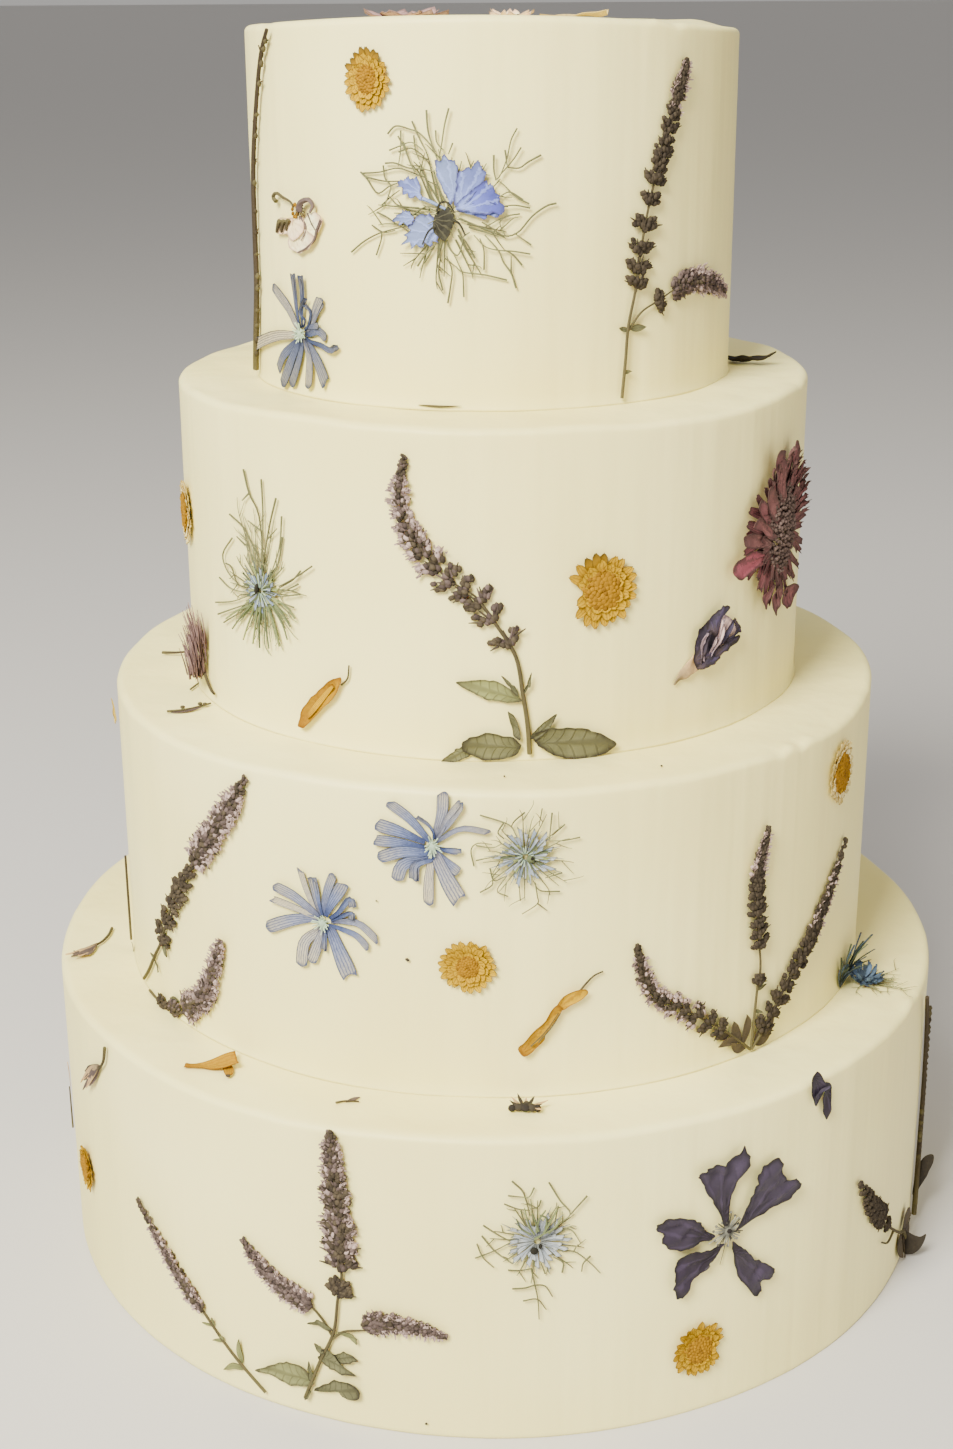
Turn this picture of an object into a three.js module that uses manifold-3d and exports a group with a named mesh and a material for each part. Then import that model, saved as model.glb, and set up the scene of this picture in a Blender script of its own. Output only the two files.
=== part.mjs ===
// A round wedding cake of four tiers in smooth ivory icing, decorated with pressed dried flowers.
// Millimetres, +Z up. The origin is on the underside, at the centre of the bottom tier. The front
// of the cake faces -Y and +X is to its right, so a place on a tier is an angle from the front
// towards +X and a height above that tier's foot.
import * as THREE from "three";
import { mergeVertices } from "three/addons/utils/BufferGeometryUtils.js";
import Module from "manifold-3d";

const wasm = await Module();
wasm.setup();

// Tiers 1 to 4 from the bottom up: cakes of 12, 10, 8 and 6 inches across, each about 4 inches
// high. Entry 0 is the surface that the cake stands on.
const TIER_RADIUS = [0, 152.5, 127.5, 101.5, 76];
const TIER_HEIGHT = [0, 104, 98, 99, 106];
const TIER_FOOT = [0, 0, 104, 202, 301];
const TIER_NAMES = ["", "tier_1", "tier_2", "tier_3", "tier_4"];

// The icing's edge: how far its round goes in and down, and how far it turns up or sags.
const TIER_SEGMENTS = 56;
const EDGE_IN = 2.6;
const EDGE_DOWN = 2.0;
const EDGE_BLEND = 10;
const SCRAPE_DEPTH = 0.3; // how far the scraper dips into the wall between its strokes

// The pressed flowers lie just clear of the icing.
const CLEAR = 0.5;
const LEDGE_CLEAR = 0.7;
const PRESSED = 0.8; // thickness of a petal or a leaf
const STALK = 1.2; // thickness of a stalk or a flower's middle, which holds the thinner pieces
const TUCK = 0.2; // how far above the underside a thinner piece starts

const radians = THREE.MathUtils.degToRad;
const group = new THREE.Group();

const icing = new THREE.MeshStandardMaterial({ color: 0xf2e8cf, roughness: 0.55, metalness: 0 });
const FLOWER_COLOURS = {
  yellow: 0xe9b33a,
  blue: 0x8c96b8,
  pale: 0xe3d6d4,
  green: 0x77744e,
  dark: 0x4f4458,
  red: 0x74364a,
};
const petalMaterials = {};
for (const [tone, color] of Object.entries(FLOWER_COLOURS))
  petalMaterials[tone] = new THREE.MeshStandardMaterial({ color, roughness: 0.85, metalness: 0 });

// A steady stream of uneven numbers from 0 to 1 for one flower.
function unevenness(seed) {
  let state = seed * 7919 + 17;
  return () => {
    state = (state * 16807) % 2147483647;
    return state / 2147483647;
  };
}

// A closed body from a geometry: equal corners are merged and flat-out triangles are dropped.
function solidOf(geometry) {
  geometry.deleteAttribute("normal");
  geometry.deleteAttribute("uv");
  const merged = mergeVertices(geometry, 1e-4);
  const corners = merged.index.array;
  const triangles = [];
  for (let i = 0; i < corners.length; i += 3) {
    const [a, b, c] = corners.slice(i, i + 3);
    if (a !== b && b !== c && c !== a) triangles.push(a, b, c);
  }
  return new wasm.Manifold(
    new wasm.Mesh({
      numProp: 3,
      vertProperties: merged.attributes.position.array,
      triVerts: new Uint32Array(triangles),
    }),
  );
}

// Pieces that grow into each other become one body.
function joined(solids) {
  let whole = solids[0];
  for (const solid of solids.slice(1)) whole = whole.add(solid);
  const mesh = whole.getMesh();
  const positions = new THREE.BufferAttribute(new Float32Array(mesh.vertProperties), 3);
  return new THREE.BufferGeometry()
    .setAttribute("position", positions)
    .setIndex(new THREE.BufferAttribute(new Uint32Array(mesh.triVerts), 1));
}

function addFlower(name, tone, solids) {
  const mesh = new THREE.Mesh(joined(solids), petalMaterials[tone]);
  mesh.name = name;
  group.add(mesh);
}

// ---------------------------------------------------------------- the tiers

// How far the rim of a tier stands above its flat top at an angle: a low uneven lip. The top
// tier's lip is higher at the front and sags at the sides.
function lipAt(tier, angle) {
  if (tier < 4) return 0.45 * Math.sin(3 * angle + tier) + 0.25 * Math.sin(7 * angle + 2 * tier);
  return 1.9 + Math.cos(angle) - 3.2 * Math.sin(angle) ** 2 - 0.8 * Math.sin(angle);
}

// One tier: a solid of revolution whose wall the scraper left slightly wavy and whose top edge is
// softly rounded. The tier above stands on the flat middle.
function addTier(tier) {
  const radius = TIER_RADIUS[tier];
  const height = TIER_HEIGHT[tier];
  const foot = TIER_FOOT[tier];
  const edgeStart = height - EDGE_DOWN;
  const flat = radius - EDGE_IN - EDGE_BLEND;
  const profile = [
    [0, 0],
    [radius, 0],
    [radius, edgeStart],
    [radius - 0.25 * EDGE_IN, height - 0.3 * EDGE_DOWN],
    [radius - EDGE_IN, height],
    [flat, height],
    [0, height],
  ].map(([r, z]) => new THREE.Vector2(r, z));
  const body = new THREE.LatheGeometry(profile, TIER_SEGMENTS);
  body.rotateX(Math.PI / 2); // a lathe turns about Y, and the cake's axis is Z
  const place = body.getAttribute("position");
  for (let i = 0; i < place.count; i++) {
    const x = place.getX(i);
    const y = place.getY(i);
    const z = place.getZ(i);
    const away = Math.hypot(x, y);
    const angle = Math.atan2(x, -y);
    const wall = away > radius - EDGE_IN;
    const dip = wall ? SCRAPE_DEPTH * (0.5 + 0.5 * Math.sin(9 * angle + 4 * tier)) : 0;
    const rim = z > edgeStart - 1 && away > flat + 1 ? lipAt(tier, angle) : 0;
    const scale = away > 0 ? (away - dip) / away : 1;
    place.setXYZ(i, x * scale, y * scale, foot + z + rim);
  }
  const mesh = new THREE.Mesh(joined([solidOf(body)]), icing);
  mesh.name = TIER_NAMES[tier];
  group.add(mesh);
}
for (let tier = 1; tier <= 4; tier++) addTier(tier);

// ---------------------------------------------------------------- laying a flower on the cake

// A flower is drawn flat, across and along in mm from its own middle or foot. onSide bends it
// round a tier's wall, and onTop lays it on a ledge or on the top, turned by an angle.
const onSide = (tier, angle, height) => (across, along, out) => {
  const radius = TIER_RADIUS[tier] + CLEAR + out;
  const turn = radians(angle) + across / TIER_RADIUS[tier];
  return [radius * Math.sin(turn), -radius * Math.cos(turn), TIER_FOOT[tier] + height + along];
};
const onTop = (tier, x, y, turned) => (across, along, up) => {
  const turn = radians(turned);
  const level = TIER_FOOT[tier] + TIER_HEIGHT[tier] + LEDGE_CLEAR;
  return [
    x + across * Math.cos(turn) - along * Math.sin(turn),
    y + across * Math.sin(turn) + along * Math.cos(turn),
    level + up,
  ];
};

// A thin plate over rows and columns. place gives each point's [across, along, under, over], and
// both faces are split into triangles alike. A round plate closes on itself about its row 0.
function plate(lay, rows, columns, round, place) {
  const width = round ? columns : columns + 1;
  const positions = [];
  for (const over of [0, 1])
    for (let row = 0; row <= rows; row++)
      for (let column = 0; column < width; column++) {
        const point = place(row, column);
        positions.push(...lay(point[0], point[1], point[2 + over]));
      }
  const at = (over, row, column) => (over * (rows + 1) + row) * width + (column % width);
  const index = [];
  const quad = (a, b, c, d) => index.push(a, b, c, a, c, d);
  for (let row = 0; row < rows; row++)
    for (let c = 0; c < columns; c++) {
      quad(at(1, row, c), at(1, row, c + 1), at(1, row + 1, c + 1), at(1, row + 1, c));
      index.push(at(0, row, c), at(0, row + 1, c + 1), at(0, row, c + 1));
      index.push(at(0, row, c), at(0, row + 1, c), at(0, row + 1, c + 1));
    }
  for (let c = 0; c < columns; c++) {
    quad(at(1, rows, c), at(1, rows, c + 1), at(0, rows, c + 1), at(0, rows, c));
    if (!round) quad(at(0, 0, c), at(0, 0, c + 1), at(1, 0, c + 1), at(1, 0, c));
  }
  for (let row = 0; row < rows && !round; row++) {
    const last = width - 1;
    quad(at(1, row, 0), at(1, row + 1, 0), at(0, row + 1, 0), at(0, row, 0));
    quad(at(0, row, last), at(0, row + 1, last), at(1, row + 1, last), at(1, row, last));
  }
  const geometry = new THREE.BufferGeometry();
  geometry.setAttribute("position", new THREE.Float32BufferAttribute(positions, 3));
  geometry.setIndex(index);
  return solidOf(geometry);
}

const smooth = (path) =>
  new THREE.CatmullRomCurve3(path.map(([u, v]) => new THREE.Vector3(u, v, 0)));

// A strip along a smooth path: a stalk, a whorled spike or, with a ridge, a leaf or a petal.
// halfWidth takes the share of the length from the foot to the tip.
function strip(lay, path, halfWidth, steps, { thick = STALK, low = 0, ridge = 0 } = {}) {
  const curve = smooth(path);
  const columns = ridge ? 2 : 1;
  return plate(lay, steps, columns, false, (row, column) => {
    const share = row / steps;
    const middle = curve.getPointAt(share);
    const ahead = curve.getTangentAt(share);
    const side = (2 * column) / columns - 1;
    const half = side * halfWidth(share);
    const rise = low + (side === 0 ? ridge : 0);
    return [middle.x + ahead.y * half, middle.y - ahead.x * half, rise, rise + thick];
  });
}

// A blossom round its middle, a low dome whose petals lift a little at their tips. reach is
// [half width, half height], notch how deep the gaps between petals go and corners the number of
// outline points a petal has. A wide blossom has a ring at the share of its reach called disc.
function blossom(lay, seed, options) {
  const { petals, reach, notch, corners = 2, disc = 0, dome = 0.9, lift = 0.3 } = options;
  const uneven = unevenness(seed);
  const lengths = Array.from({ length: petals }, () => 1 - 0.22 * uneven());
  const columns = petals * corners;
  const shares = disc ? [0, disc, 1] : [0, 1];
  const tips = shares.length - 1;
  return plate(lay, tips, columns, true, (row, column) => {
    const petal = Math.floor(column / corners);
    const between = column % corners === 0;
    const length = row < tips ? 1 : lengths[petal] * (between ? 1 - notch : 1);
    const share = shares[row] * length;
    const turn = (2 * Math.PI * column) / columns + seed;
    const low = row === tips ? lift : 0;
    const over = low + PRESSED + (row === tips ? 0 : dome);
    return [share * reach[0] * Math.sin(turn), share * reach[1] * Math.cos(turn), low, over];
  });
}

// A leaf or petal from its foot to its tip: belly says where it is widest.
function blade(lay, foot, tip, width, options = {}) {
  const { curl = 0, belly = 1, steps = 3, low = TUCK, blunt = 0.06 } = options;
  const across = tip[0] - foot[0];
  const along = tip[1] - foot[1];
  const middle = [foot[0] + 0.5 * across - curl * along, foot[1] + 0.5 * along + curl * across];
  const half = (share) => 0.5 * width * Math.max(blunt, Math.sin(Math.PI * share ** belly));
  return strip(lay, [foot, middle, tip], half, steps, { thick: PRESSED, low, ridge: 0.25 });
}

// A spike of whorled florets: narrow between the whorls, tapering to its tip.
function spike(lay, path, width, whorls) {
  const steps = 2 * whorls;
  const half = (share) => {
    const taper = 0.5 * width * (1 - 0.75 * share ** 2.2);
    return Math.round(share * steps) % 2 ? taper : 0.62 * taper;
  };
  return strip(lay, path, half, steps, { thick: STALK + 0.3 });
}

const stalk = (lay, path, width = 1.1, steps = 3) => strip(lay, path, () => 0.5 * width, steps);

// ---------------------------------------------------------------- yellow daisies

// Flat double daisies: name, tier, angle, height, half width and half height.
const DAISIES = [
  ["daisy_4a", 4, -27, 92, 7.2, 8.4],
  ["daisy_3a", 3, -74, 58, 10.5, 11.5],
  ["daisy_3b", 3, 18, 51, 11.5, 12],
  ["daisy_2a", 2, -3.5, 44, 8.3, 8.6],
  ["daisy_2b", 2, 58, 81, 10.5, 11.4],
  ["daisy_1a", 1, -64.5, 42, 8.5, 8.6],
  ["daisy_1b", 1, 24, 23.5, 10, 10.3],
  ["daisy_4b", 4, 112, 34, 9, 9.4],
  ["daisy_3c", 3, 172, 44, 10.5, 10.8],
  ["daisy_1c", 1, 122, 38, 10.5, 10.2],
];
DAISIES.forEach(([name, tier, angle, height, across, up], i) =>
  addFlower(name, "yellow", [
    blossom(onSide(tier, angle, height), i + 1, { petals: 12, reach: [across, up], notch: 0.14 }),
  ]),
);

// ---------------------------------------------------------------- blue chicory

// Strap petals with square tips round a small middle.
const CHICORIES = [
  ["chicory_4a", 4, -48, 19, 17.5, 17.5],
  ["chicory_2a", 2, -23.7, 52.2, 19, 18.4],
  ["chicory_2b", 2, -7.7, 81.3, 17.5, 17],
  ["chicory_3a", 3, 132, 62, 17, 17],
  ["chicory_1a", 1, -106, 66, 18, 18],
];
CHICORIES.forEach(([name, tier, angle, height, across, up], i) =>
  addFlower(name, "blue", [
    blossom(onSide(tier, angle, height), i + 21, {
      petals: 12,
      reach: [across, up],
      notch: 0.68,
      corners: 3,
      dome: 0.6,
      lift: 0.5,
    }),
  ]),
);

// ---------------------------------------------------------------- nigellas

// Pointed petals round a seed pod, in a collar of hair-like bracts: the petals' reach, then the
// tips of the bracts from the middle.
const THREAD = 0.9;
const NIGELLAS = [
  {
    name: "nigella_4a",
    tone: "blue",
    lay: onSide(4, -10, 55.7),
    reach: 14,
    threads: [[-27, 28], [6, 27], [24, 15], [30, -22], [5, -26], [-24, -12]],
  },
  {
    name: "nigella_3a",
    tone: "green",
    lay: onSide(3, -43, 45),
    reach: 9,
    threads: [[-6.5, 36], [2, 34.5], [8, 30], [21, 11], [-1, -21], [-26, -9]],
  },
  {
    name: "nigella_2a",
    tone: "blue",
    lay: onSide(2, 4, 79),
    reach: 8.5,
    threads: [[-10, 12], [4, 16], [15, 7], [11, -12], [-2, -16], [-14, -7]],
  },
  {
    name: "nigella_1b",
    tone: "pale",
    lay: onSide(1, 4.6, 71),
    reach: 11.5,
    threads: [[-22, -9], [-3, 20], [10, 17], [17, 15], [19, -13], [0, -26]],
  },
  {
    name: "nigella_1a",
    tone: "blue",
    lay: onTop(1, 124.8, -52.6, 0),
    reach: 6,
    threads: [[17, 9], [16, -9], [-2, -10]],
  },
  {
    name: "nigella_4b",
    tone: "blue",
    lay: onSide(4, 155, 60),
    reach: 12,
    threads: [[-22, 14], [0, 25], [22, 12], [19, -14], [-10, -22]],
  },
  {
    name: "nigella_2b",
    tone: "pale",
    lay: onSide(2, 112, 60),
    reach: 11,
    threads: [[-18, 14], [2, 22], [20, 8], [11, -19], [-14, -15]],
  },
];
NIGELLAS.forEach(({ name, tone, lay, reach, threads }, i) => {
  const flower = blossom(lay, i + 41, {
    petals: 9,
    reach: [reach, reach],
    notch: 0.42,
    dome: 1.6,
  });
  const bracts = threads.map(([u, v], k) => {
    const bend = (k % 2 ? 1 : -1) * 0.12;
    const root = (0.3 * reach) / Math.hypot(u, v);
    const path = [[root * u, root * v], [0.65 * u - bend * v, 0.65 * v + bend * u], [u, v]];
    return strip(lay, path, (share) => 0.5 * THREAD * (1 - 0.5 * share), 2, { thick: 0.6, low: TUCK });
  });
  addFlower(name, tone, [flower, ...bracts]);
});

// ---------------------------------------------------------------- mint and lavender spikes

// A spray stands on its foot. Its pieces are drawn from the foot: stalks, spikes of florets with
// their width and number of whorls, and leaves, each with its stalk, how far up it grows, its
// tip, width and curl.
const SPRAYS = [
  {
    name: "spike_4a",
    lay: onSide(4, 30, 2),
    stalks: [[[-0.5, 0], [1.3, 21], [3.8, 33]], [[1.3, 19], [6, 25], [12, 27.5], [18, 29.5]]],
    spikes: [
      [[[3.6, 31], [6, 50], [13, 70], [21.4, 93]], 5, 8],
      [[[17, 29], [27, 32], [38, 30], [48, 26]], 7.5, 5],
    ],
    leaves: [[1, 0.5, [13, 33], 4.5, 0], [1, 0.6, [16, 24], 4, 0]],
  },
  {
    name: "spike_3a",
    lay: onSide(3, 6, 2),
    stalks: [[[-0.4, 2], [-2, 17.5], [-5, 33]]],
    spikes: [[[[-4.4, 32], [-9, 40], [-15, 48], [-27, 57], [-36, 70], [-35.8, 88]], 10, 8]],
    leaves: [
      [0, 0.55, [-22.5, 22.6], 6.5, 0.12],
      [0, 0.2, [-25, 4.6], 7, 0.08],
      [0, 0.2, [26, 4], 9, 0.02],
      [0, 0.72, [6, 20], 3.5, 0],
    ],
  },
  {
    name: "spike_2a",
    lay: onSide(2, -66, 2.5),
    stalks: [[[1, 0], [7.7, 6.2], [15, 14.5], [22.5, 24]]],
    spikes: [[[[21.5, 22.8], [37, 47], [55, 71], [69.8, 92]], 8, 9]],
    leaves: [[0, 0.4, [10, 18], 3, 0]],
  },
  {
    name: "spike_2b",
    lay: onSide(2, -60, 4),
    stalks: [[[0, 0], [6, -0.6], [12, 0.6]]],
    spikes: [[[[11, 0.2], [23, 4], [31, 9], [37, 20], [42.5, 34]], 7.5, 6]],
    leaves: [],
  },
  {
    name: "spike_2c",
    lay: onSide(2, 38, 2.2),
    stalks: [
      [[0, 0], [-5, 4.5], [-10, 9]],
      [[0, 0], [2.4, 18], [3.6, 28]],
      [[0, 0], [4, 2.6], [7.6, 5.5]],
    ],
    spikes: [
      [[[-9, 8.2], [-22, 17.5], [-37, 28.5], [-42, 45.5]], 7.5, 5],
      [[[3.4, 26], [3.2, 38], [0.4, 52], [3.7, 71.7]], 6, 5],
      [[[6.8, 4.4], [20, 19.5], [34, 34], [50.5, 53]], 6.5, 6],
    ],
    leaves: [[0, 0.5, [-12, 13], 4, 0]],
  },
  {
    name: "spike_1a",
    lay: onSide(1, -28, 4),
    stalks: [[[0, 0], [-13, 10.5], [-25, 22]]],
    spikes: [[[[-24, 21], [-32, 28], [-41, 37], [-55, 50]], 4.6, 6]],
    leaves: [[0, 0.27, [-9, 15], 3, 0], [0, 0.3, [-15, 3.5], 3, 0]],
  },
  {
    name: "spike_1b",
    lay: onSide(1, -22, 10),
    stalks: [
      [[-0.4, 0], [3.8, 11.4], [8.8, 24], [11, 38]],
      [[8.2, 22], [5.5, 27], [2, 32]],
      [[8.2, 21], [13, 25.5], [18, 28.5]],
    ],
    spikes: [
      [[[11, 37], [12, 60], [10.6, 79], [9.8, 93]], 9, 8],
      [[[3, 31], [-6.4, 34.8], [-14, 40], [-22, 48.3]], 6.5, 5],
      [[[17, 28], [25, 30], [34, 30], [44, 27.5]], 6.5, 5],
    ],
    leaves: [
      [0, 0.08, [-19.4, 2.4], 6.5, -0.16],
      [0, 0.08, [18, 1.8], 6, 0.14],
      [0, 0.3, [15.7, 16], 5, 0.1],
    ],
  },
  {
    name: "spike_1c",
    lay: onSide(1, 62, 24),
    stalks: [[[15, -15], [4.2, -6.7], [-10, 4], [-17, 11]]],
    spikes: [[[[-16, 10], [-22, 16], [-28, 23], [-34, 32.5]], 7, 5]],
    leaves: [[0, 0.1, [18, -23], 9, 0]],
  },
  {
    name: "spike_4b",
    lay: onSide(4, -150, 2),
    stalks: [[[0, 0], [2, 18], [1, 34]]],
    spikes: [[[[1, 32], [0, 46], [-5, 64], [-3, 88]], 8, 7]],
    leaves: [[0, 0.2, [18, 12], 7, 0.1], [0, 0.15, [-16, 13], 6, -0.1]],
  },
  {
    name: "spike_3b",
    lay: onSide(3, -132, 2),
    stalks: [[[0, 0], [6, 14], [14, 28]]],
    spikes: [[[[13, 26], [22, 38], [28, 52], [40, 66]], 7, 6]],
    leaves: [[0, 0.25, [-13, 11], 6, -0.1], [0, 0.45, [17, 9], 5, 0.1]],
  },
  {
    name: "spike_2d",
    lay: onSide(2, -140, 2.5),
    stalks: [[[0, 0], [-6, 14], [-10, 28]], [[-3, 7], [5, 16], [10, 22]]],
    spikes: [
      [[[-9.6, 26], [-16, 40], [-19, 58], [-27, 78]], 8, 6],
      [[[9, 21], [18, 30], [26, 36], [36, 50]], 6, 4],
    ],
    leaves: [[0, 0.35, [-23, 9], 7, 0.1]],
  },
  {
    name: "spike_1d",
    lay: onSide(1, -152, 3),
    stalks: [[[0, 0], [6, 16], [9, 34]], [[6.4, 18], [14, 24], [20, 28]]],
    spikes: [
      [[[8.8, 32], [12, 50], [9, 68], [14, 90]], 9, 6],
      [[[19, 27], [28, 33], [36, 36], [47, 35]], 6.5, 4],
    ],
    leaves: [[0, 0.2, [24, 7], 8, -0.1], [0, 0.2, [-16, 13], 7, 0.1]],
  },
];
for (const { name, lay, stalks, spikes, leaves } of SPRAYS)
  addFlower(name, "green", [
    ...stalks.map((path) => stalk(lay, path)),
    ...spikes.map(([path, width, whorls]) => spike(lay, path, width, whorls)),
    ...leaves.map(([from, share, tip, width, curl]) => {
      const foot = smooth(stalks[from]).getPointAt(share);
      return blade(lay, [foot.x, foot.y], tip, width, { curl });
    }),
  ]);

// ---------------------------------------------------------------- mallows and the zinnia

// Mallow: five loose petals, notched at their ends, round a small star; petals are
// [turn from upright, length, width].
const MALLOWS = [
  {
    name: "mallow_1a",
    lay: onSide(1, 27.1, 63.9),
    petals: [[-8, 29, 14], [57, 29, 14], [-76, 26, 12], [-138, 26, 12], [154, 30, 12.5]],
  },
  {
    name: "mallow_2a",
    lay: onSide(2, 154, 58),
    petals: [[4, 27, 14], [70, 26, 14], [142, 27, 13], [-148, 26, 13], [-72, 27, 14]],
  },
];
for (const { name, lay, petals } of MALLOWS) {
  const star = blossom(lay, 61, { petals: 5, reach: [5, 5], notch: 0.3, dome: 0.8, lift: 0 });
  const blades = petals.map(([turned, length, width]) => {
    const towards = [Math.sin(radians(turned)), Math.cos(radians(turned))];
    const foot = towards.map((part) => 2.5 * part);
    const tip = towards.map((part) => length * part);
    return blade(lay, foot, tip, width, { belly: 1.7, steps: 4, blunt: 0.3 });
  });
  addFlower(name, "dark", [star, ...blades]);
}

// Zinnia-like daisy: many narrow dark red petals round a wide grey-brown disc.
const ZINNIAS = [
  ["zinnia_3a", 3, 59, 57, 28.5, 26.5],
  ["zinnia_1a", 1, 158, 60, 24, 24],
];
ZINNIAS.forEach(([name, tier, angle, height, across, up], i) =>
  addFlower(name, "red", [
    blossom(onSide(tier, angle, height), i + 71, {
      petals: 14,
      reach: [across, up],
      notch: 0.42,
      disc: 0.45,
      dome: 2.6,
      lift: 0.6,
    }),
  ]),
);

// ---------------------------------------------------------------- small blossoms, buds and petals

// A whitish blossom with a striped calyx below it.
{
  const lay = onSide(4, -47.5, 51.5);
  addFlower("blossom_4a", "pale", [
    blossom(lay, 81, { petals: 7, reach: [10.5, 8.6], notch: 0.3 }),
    blade(lay, [1, -3], [-2, -12], 4.5),
  ]);
}

// Two blossoms and a petal on the very top.
addFlower("top_pink_blossom", "pale", [
  blossom(onTop(4, -27, 6, 0), 82, { petals: 8, reach: [14, 12], notch: 0.35, dome: 2.6, lift: 1.2 }),
]);
addFlower("top_white_blossom", "pale", [
  blossom(onTop(4, 6, -4, 0), 83, { petals: 6, reach: [8, 7], notch: 0.4, dome: 2.2, lift: 1.2 }),
]);
addFlower("top_yellow_petal", "yellow", [
  strip(onTop(4, 30, 8, 0), [[-11, 0], [0, 1], [11, -1]], (s) => 1 + 3.4 * Math.sin(Math.PI * s), 4, {
    thick: PRESSED,
    ridge: 1.2,
  }),
]);

// Single petals and leaves: name, tone, where, foot, tip, width, curl.
const BLADES = [
  ["petal_3a", "yellow", onSide(3, -34.7, 4.6), [0, 0], [15.6, 18.6], 9, 0.05],
  ["petal_2a", "yellow", onSide(2, 3.2, 14.8), [0, 0], [19.5, 23.2], 7, -0.04],
  ["petal_1a", "yellow", onTop(1, -94, -111, 0), [0, 0], [17, 3], 9.5, 0.05],
  ["petal_1b", "dark", onSide(1, 39.5, 103), [0, 0.6], [5.3, -14.7], 8.5, 0.05],
  ["leaf_3a", "dark", onTop(3, 78.5, 3, -60), [0, 0], [8, 6], 5, 0],
  ["sprig_2a", "green", onTop(2, -101.5, -59, 30), [0, 0], [13.5, 0], 3.2, 0.1],
  ["calyx_1a", "dark", onTop(1, 5, -136, 0), [0, 0], [10, 1], 4.6, 0],
];
for (const [name, tone, lay, foot, tip, width, curl] of BLADES)
  addFlower(name, tone, [blade(lay, foot, tip, width, { curl, blunt: 0.22, low: 0 })]);

// A thistle head leaning on the wall, on two stalks.
{
  const lay = onSide(3, -67, 17);
  addFlower("thistle_2a", "dark", [
    blossom(lay, 84, { petals: 9, reach: [7, 13], notch: 0.2, dome: 3.6, lift: 0.4 }),
    stalk(lay, [[1, -4], [6, -10], [12, -13]]),
    stalk(lay, [[-1, -4], [-4, -11], [-7, -14.5]]),
  ]);
}

// Buds on a stalk: name, tone, where, the stalk's path, then the bud's foot, tip and width.
const BUDS = [
  ["bud_3a", "dark", onSide(3, 32, 18.8), [[0.6, 0], [4, 4], [8, 7.5]], [7, 6], [23.5, 20], 14],
  ["bud_1a", "green", onTop(1, -141, -30, 20), [[12, 16], [8, 10], [3, 3]], [4, 4], [-5, -3], 6],
  ["bud_1b", "green", onSide(1, -54, 100), [[0, 0], [-2, -6], [-8, -11]], [-7, -10], [-20, -23], 6],
];
for (const [name, tone, lay, path, foot, tip, width] of BUDS)
  addFlower(name, tone, [stalk(lay, path, 1.4, 4), blade(lay, foot, tip, width, { belly: 0.85 })]);

// Bare dark stems with a leaf or two.
{
  const lay = onSide(4, -74, 3);
  addFlower("stem_4a", "green", [
    stalk(lay, [[-1.6, 0], [3.4, 26], [7, 50], [12.5, 78], [19, 96], [23, 102]], 1.5, 8),
    blade(lay, [4.4, 31], [1, 40], 2.4),
  ]);
}
addFlower("stem_2a", "green", [stalk(onSide(2, -78.5, 4), [[1, 0], [0, 14], [0, 30]], 1.5, 5)]);
{
  // its leaf stands off the wall towards its tip
  const lay = onSide(1, 75, 8);
  const standing = (across, along, out) => lay(across, along, out + 0.8 * Math.max(0, across - 2));
  addFlower("stem_1a", "green", [
    stalk(lay, [[3, 0], [1, 40], [-6, 70], [-14, 90]], 1.5, 8),
    blade(standing, [2, 11], [9, 23], 4.5),
  ]);
}

export default group;
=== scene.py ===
# A round wedding cake of four tiers in smooth ivory icing, dressed with pressed dried flowers.
# Metres, +Z up, the front of the cake faces -Y. A flower is drawn flat in millimetres and then
# laid on the wall of a tier or on a ledge.
import math
import random

import bmesh
import bpy
from mathutils import Euler, Matrix, Vector, noise


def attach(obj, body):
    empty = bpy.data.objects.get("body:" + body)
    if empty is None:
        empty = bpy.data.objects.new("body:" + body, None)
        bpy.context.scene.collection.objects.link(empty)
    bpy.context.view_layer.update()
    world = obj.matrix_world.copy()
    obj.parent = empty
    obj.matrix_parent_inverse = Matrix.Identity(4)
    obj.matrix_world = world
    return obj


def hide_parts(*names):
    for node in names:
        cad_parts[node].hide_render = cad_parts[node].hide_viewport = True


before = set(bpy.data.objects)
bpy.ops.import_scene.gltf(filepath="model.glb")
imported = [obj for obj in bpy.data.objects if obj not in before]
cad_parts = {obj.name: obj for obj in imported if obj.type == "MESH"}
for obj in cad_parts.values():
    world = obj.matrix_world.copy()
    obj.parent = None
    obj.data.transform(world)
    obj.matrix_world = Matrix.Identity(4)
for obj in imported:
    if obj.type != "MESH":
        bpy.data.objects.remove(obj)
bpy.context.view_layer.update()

# ---------------------------------------------------------------- camera
# A phone held just above the height of the top tier, close to the cake and tilted down.
eye = bpy.data.cameras.new("eye")
eye.sensor_fit = "VERTICAL"
eye.sensor_height = 24
eye.lens = 33.92
eye.clip_start = 0.02
camera = bpy.data.objects.new("camera", eye)
bpy.context.scene.collection.objects.link(camera)
tilt = Euler((math.radians(90 - 19.807), 0, math.radians(0.514))).to_matrix().to_4x4()
roll = Matrix.Rotation(math.radians(-0.356), 4, "Z")
camera.matrix_world = Matrix.Translation((0, -0.6666, 0.4171)) @ tilt @ roll
bpy.context.scene.camera = camera

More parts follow.
